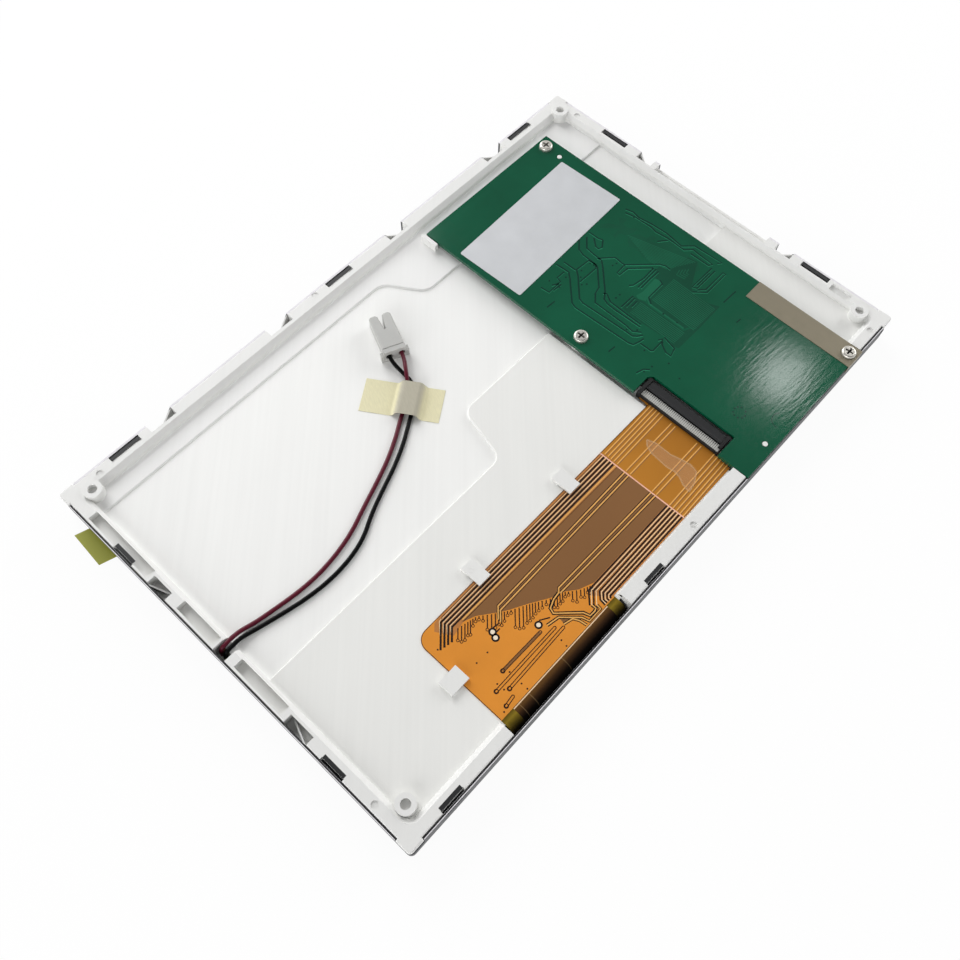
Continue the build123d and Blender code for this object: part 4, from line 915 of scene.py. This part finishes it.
# Wrinkle of the cover film where it stands proud: a paler field and a bright rim, painted reflection and
# highlight on the film
wrinkle_reflection = simple("painted_wrinkle_reflection", "#dcae80", 0.3, 2.0, 0.004, Alpha=0.3)
wrinkle_rim_highlight = simple("painted_wrinkle_rim_highlight", "#f0c894", 0.3, 2.0, 0.004, Alpha=0.25)
upper_rim = [
    (17.0, -31.6), (17.7, -33.7), (17.7, -35.6), (17.7, -38.1), (18.5, -41.1), (18.8, -43.2),
    (18.3, -45.1), (17.2, -45.7), (15.7, -46.5), (13.1, -47.0),
]
lower_rim = [
    (17.0, -31.6), (15.8, -32.7), (15.0, -34.6), (14.8, -36.9), (14.6, -39.4), (14.9, -41.5),
    (14.5, -43.2), (13.6, -44.8), (13.3, -46.0), (13.1, -47.0),
]
patches("film_wrinkle", [upper_rim + lower_rim[-2:0:-1]], FLEX_TOP_Z + 0.012, 0.01, wrinkle_reflection)
strips("film_wrinkle_rims", [upper_rim, lower_rim], 0.4, FLEX_TOP_Z + 0.022, 0.006, wrinkle_rim_highlight)

# Rim beside the flex: its flat top runs on to the edge
ledge = [(-17.1, -50.85), (24.1, -50.85), (24.1, -51.8), (-17.1, -51.8)]
patches("rim_ledge", [ledge], 7.0, 1.1, white_abs)
dots("rim_mark", [(6.0, -53.2)], 0.72, RIM_Z, 0.02, white_abs, ring=0.14)

# Round sink mark on the second clip
CLIP_TOP_Z = 7.42
dots("clip_mark", [(-34.9, -24.0)], 0.5, CLIP_TOP_Z, 0.03, white_abs, ring=0.16)

# Bezel: dark patches for the folded tab ends on the rim, widened with painted shade of their pockets. Each
# has its start, its end and its side
tab_pocket_shade = simple("tab_and_pocket_shade", "#1d1e20", 0.5, 0.3, 0.01)
seam_shade = simple("painted_seam_shadow", "#0d0d0e", 0.7)
TAB_REACH = 0.9
TAB_OUT_X = 83.9
TAB_OUT_Y = 53.9
long_side_tabs = [
    (-11.35, -5.65, -1), (-75.1, -69.1, -1), (63.3, 71.3, 1), (-4.5, 3.5, 1), (-71.5, -63.5, 1),
]
short_side_tabs = [(30.0, 36.0, -1), (-35.6, -29.6, -1), (-37.0, -29.0, 1), (28.9, 36.9, 1)]
tab_and_pocket_outlines = []
for first, last, side in long_side_tabs:
    outer, inner = side * TAB_OUT_Y, side * (TAB_OUT_Y - TAB_REACH)
    tab_and_pocket_outlines.append([(first, outer), (last, outer), (last, inner), (first, inner)])
for first, last, side in short_side_tabs:
    outer, inner = side * TAB_OUT_X, side * (TAB_OUT_X - TAB_REACH)
    tab_and_pocket_outlines.append([(outer, first), (outer, last), (inner, last), (inner, first)])
patches("bezel_tabs_and_pocket_shade", tab_and_pocket_outlines, RIM_Z - 0.02, 0.04, tab_pocket_shade)

# Bezel: painted shadow in the gap between the rim and the sheet
SEAM_Z = 7.8
seams = [
    [(-81.0, -54.67), (24.1, -54.67)],
    [(71.3, -54.67), (81.0, -54.67)],
    [(-84.67, -51.0), (-84.67, 51.0)],
]
strips("bezel_seam", seams, 0.32, SEAM_Z, 0.01, seam_shade)

# Blind bottoms of the four boss holes
BOSS_BOTTOM_Z = 7.2
bosses = [(x, y) for x in (-78.9, 80.7) for y in (-47.9, 50.3)]
dots("boss_floors", bosses, 1.08, BOSS_BOTTOM_Z, 0.05, white_abs)

# Screws: painted shade in each cross recess
RECESS_Z = 8.31
RECESS_ARM = 1.02
crosses = []
for x, y in ((68.0, 44.4), (27.3, -2.5), (68.45, -52.8)):
    crosses.append([(x - RECESS_ARM, y), (x + RECESS_ARM, y)])
    crosses.append([(x, y - RECESS_ARM), (x, y + RECESS_ARM)])
recess_dark = simple("recess_shade", "#1d1b19", 0.6)
strips("screw_recesses", crosses, 0.5, RECESS_Z, 0.02, recess_dark)


# Plain stage: pale floor, soft lights and the photograph's camera
def pale_floor():
    """Floor and backdrop that the camera, gloss and glass see as white."""
    made, tree, shader = new_finish("pale_floor", "#fbfbfb", 0.9)
    seen = add_node(tree, "ShaderNodeLightPath")
    plain = maths(tree, "MAXIMUM", seen.outputs["Is Camera Ray"], seen.outputs["Is Glossy Ray"])
    white = add_node(tree, "ShaderNodeEmission", {"Color": (1, 1, 1, 1), "Strength": 1.0})
    mixed = add_node(
        tree,
        "ShaderNodeMixShader",
        {
            0: ranged(tree, plain, (0.0, 1.0), (0.0, 0.94)),
            1: shader.outputs["BSDF"],
            2: white.outputs["Emission"],
        },
    )
    tree.links.new(mixed.outputs["Shader"], tree.nodes["Material Output"].inputs["Surface"])
    return made


FLOOR_REACH = 3.0
floor_corners = [(x * FLOOR_REACH, y * FLOOR_REACH, 0) for x, y in ((-1, -1), (1, -1), (1, 1), (-1, 1))]
floor_mesh = bpy.data.meshes.new("floor")
floor_mesh.from_pydata(floor_corners, [], [(0, 1, 2, 3)])
floor_mesh.materials.append(pale_floor())
floor = bpy.data.objects.new("floor", floor_mesh)
scene.collection.objects.link(floor)


def soft_light(name, place, aim, size, power):
    """Square soft light at a place, turned to the point it lights."""
    data = bpy.data.lights.new(name, "AREA")
    data.shape = "SQUARE"
    data.size = size
    data.energy = power
    lamp = bpy.data.objects.new(name, data)
    lamp.location = place
    lamp.rotation_euler = (Vector(aim) - Vector(place)).to_track_quat("-Z", "Y").to_euler()
    scene.collection.objects.link(lamp)


soft_light("key_light", (0.566, 0.056, 0.72), (0.053, -0.045, 0.008), 0.05, 0.085)
soft_light("window_light", (0.22, 0.85, 0.62), (0, 0, 0), 0.7, 8.0)
soft_light("side_light", (0.95, -0.2, 0.45), (0, 0, 0), 0.5, 3.6)
soft_light("left_fill", (-0.95, -0.2, 0.36), (0, 0, 0), 0.8, 5.0)

# Room: bright round the horizon, a little dimmer towards -Y, dim overhead; the camera sees it white
world = bpy.data.worlds.new("room")
world.use_nodes = True
tree = world.node_tree
axes = add_node(tree, "ShaderNodeSeparateXYZ", {"Vector": place_of(tree, "Generated")})
height_level = ranged(tree, axes.outputs["Z"], (0.2, 0.62), (1.2, 0.2))
side_level = ranged(tree, axes.outputs["Y"], (-0.9, 0.3), (0.7, 1.0))
lit = maths(tree, "MULTIPLY", height_level, side_level)
seen = add_node(tree, "ShaderNodeLightPath")
level = ranged(tree, seen.outputs["Is Camera Ray"], (0.0, 1.0), (lit, 1.0))
background = tree.nodes["Background"]
background.inputs["Color"].default_value = (1, 1, 1, 1)
tree.links.new(level, background.inputs["Strength"])
scene.world = world

camera_data = bpy.data.cameras.new("camera")
camera_data.lens = 35.795
camera_data.sensor_width = 36.0
camera_data.clip_start = 0.01
camera = bpy.data.objects.new("camera", camera_data)
eye = Vector((-0.088336, -0.072457, 0.202257))
look = Vector((0.3269346, 0.2855743, -0.9008669))
up = Vector((0.6560025, 0.6176037, 0.4338507))
right = look.cross(up)
camera.matrix_world = Matrix([[right[i], up[i], -look[i], eye[i]] for i in range(3)] + [[0, 0, 0, 1]])
scene.collection.objects.link(camera)
scene.camera = camera
scene.view_settings.view_transform = "Standard"
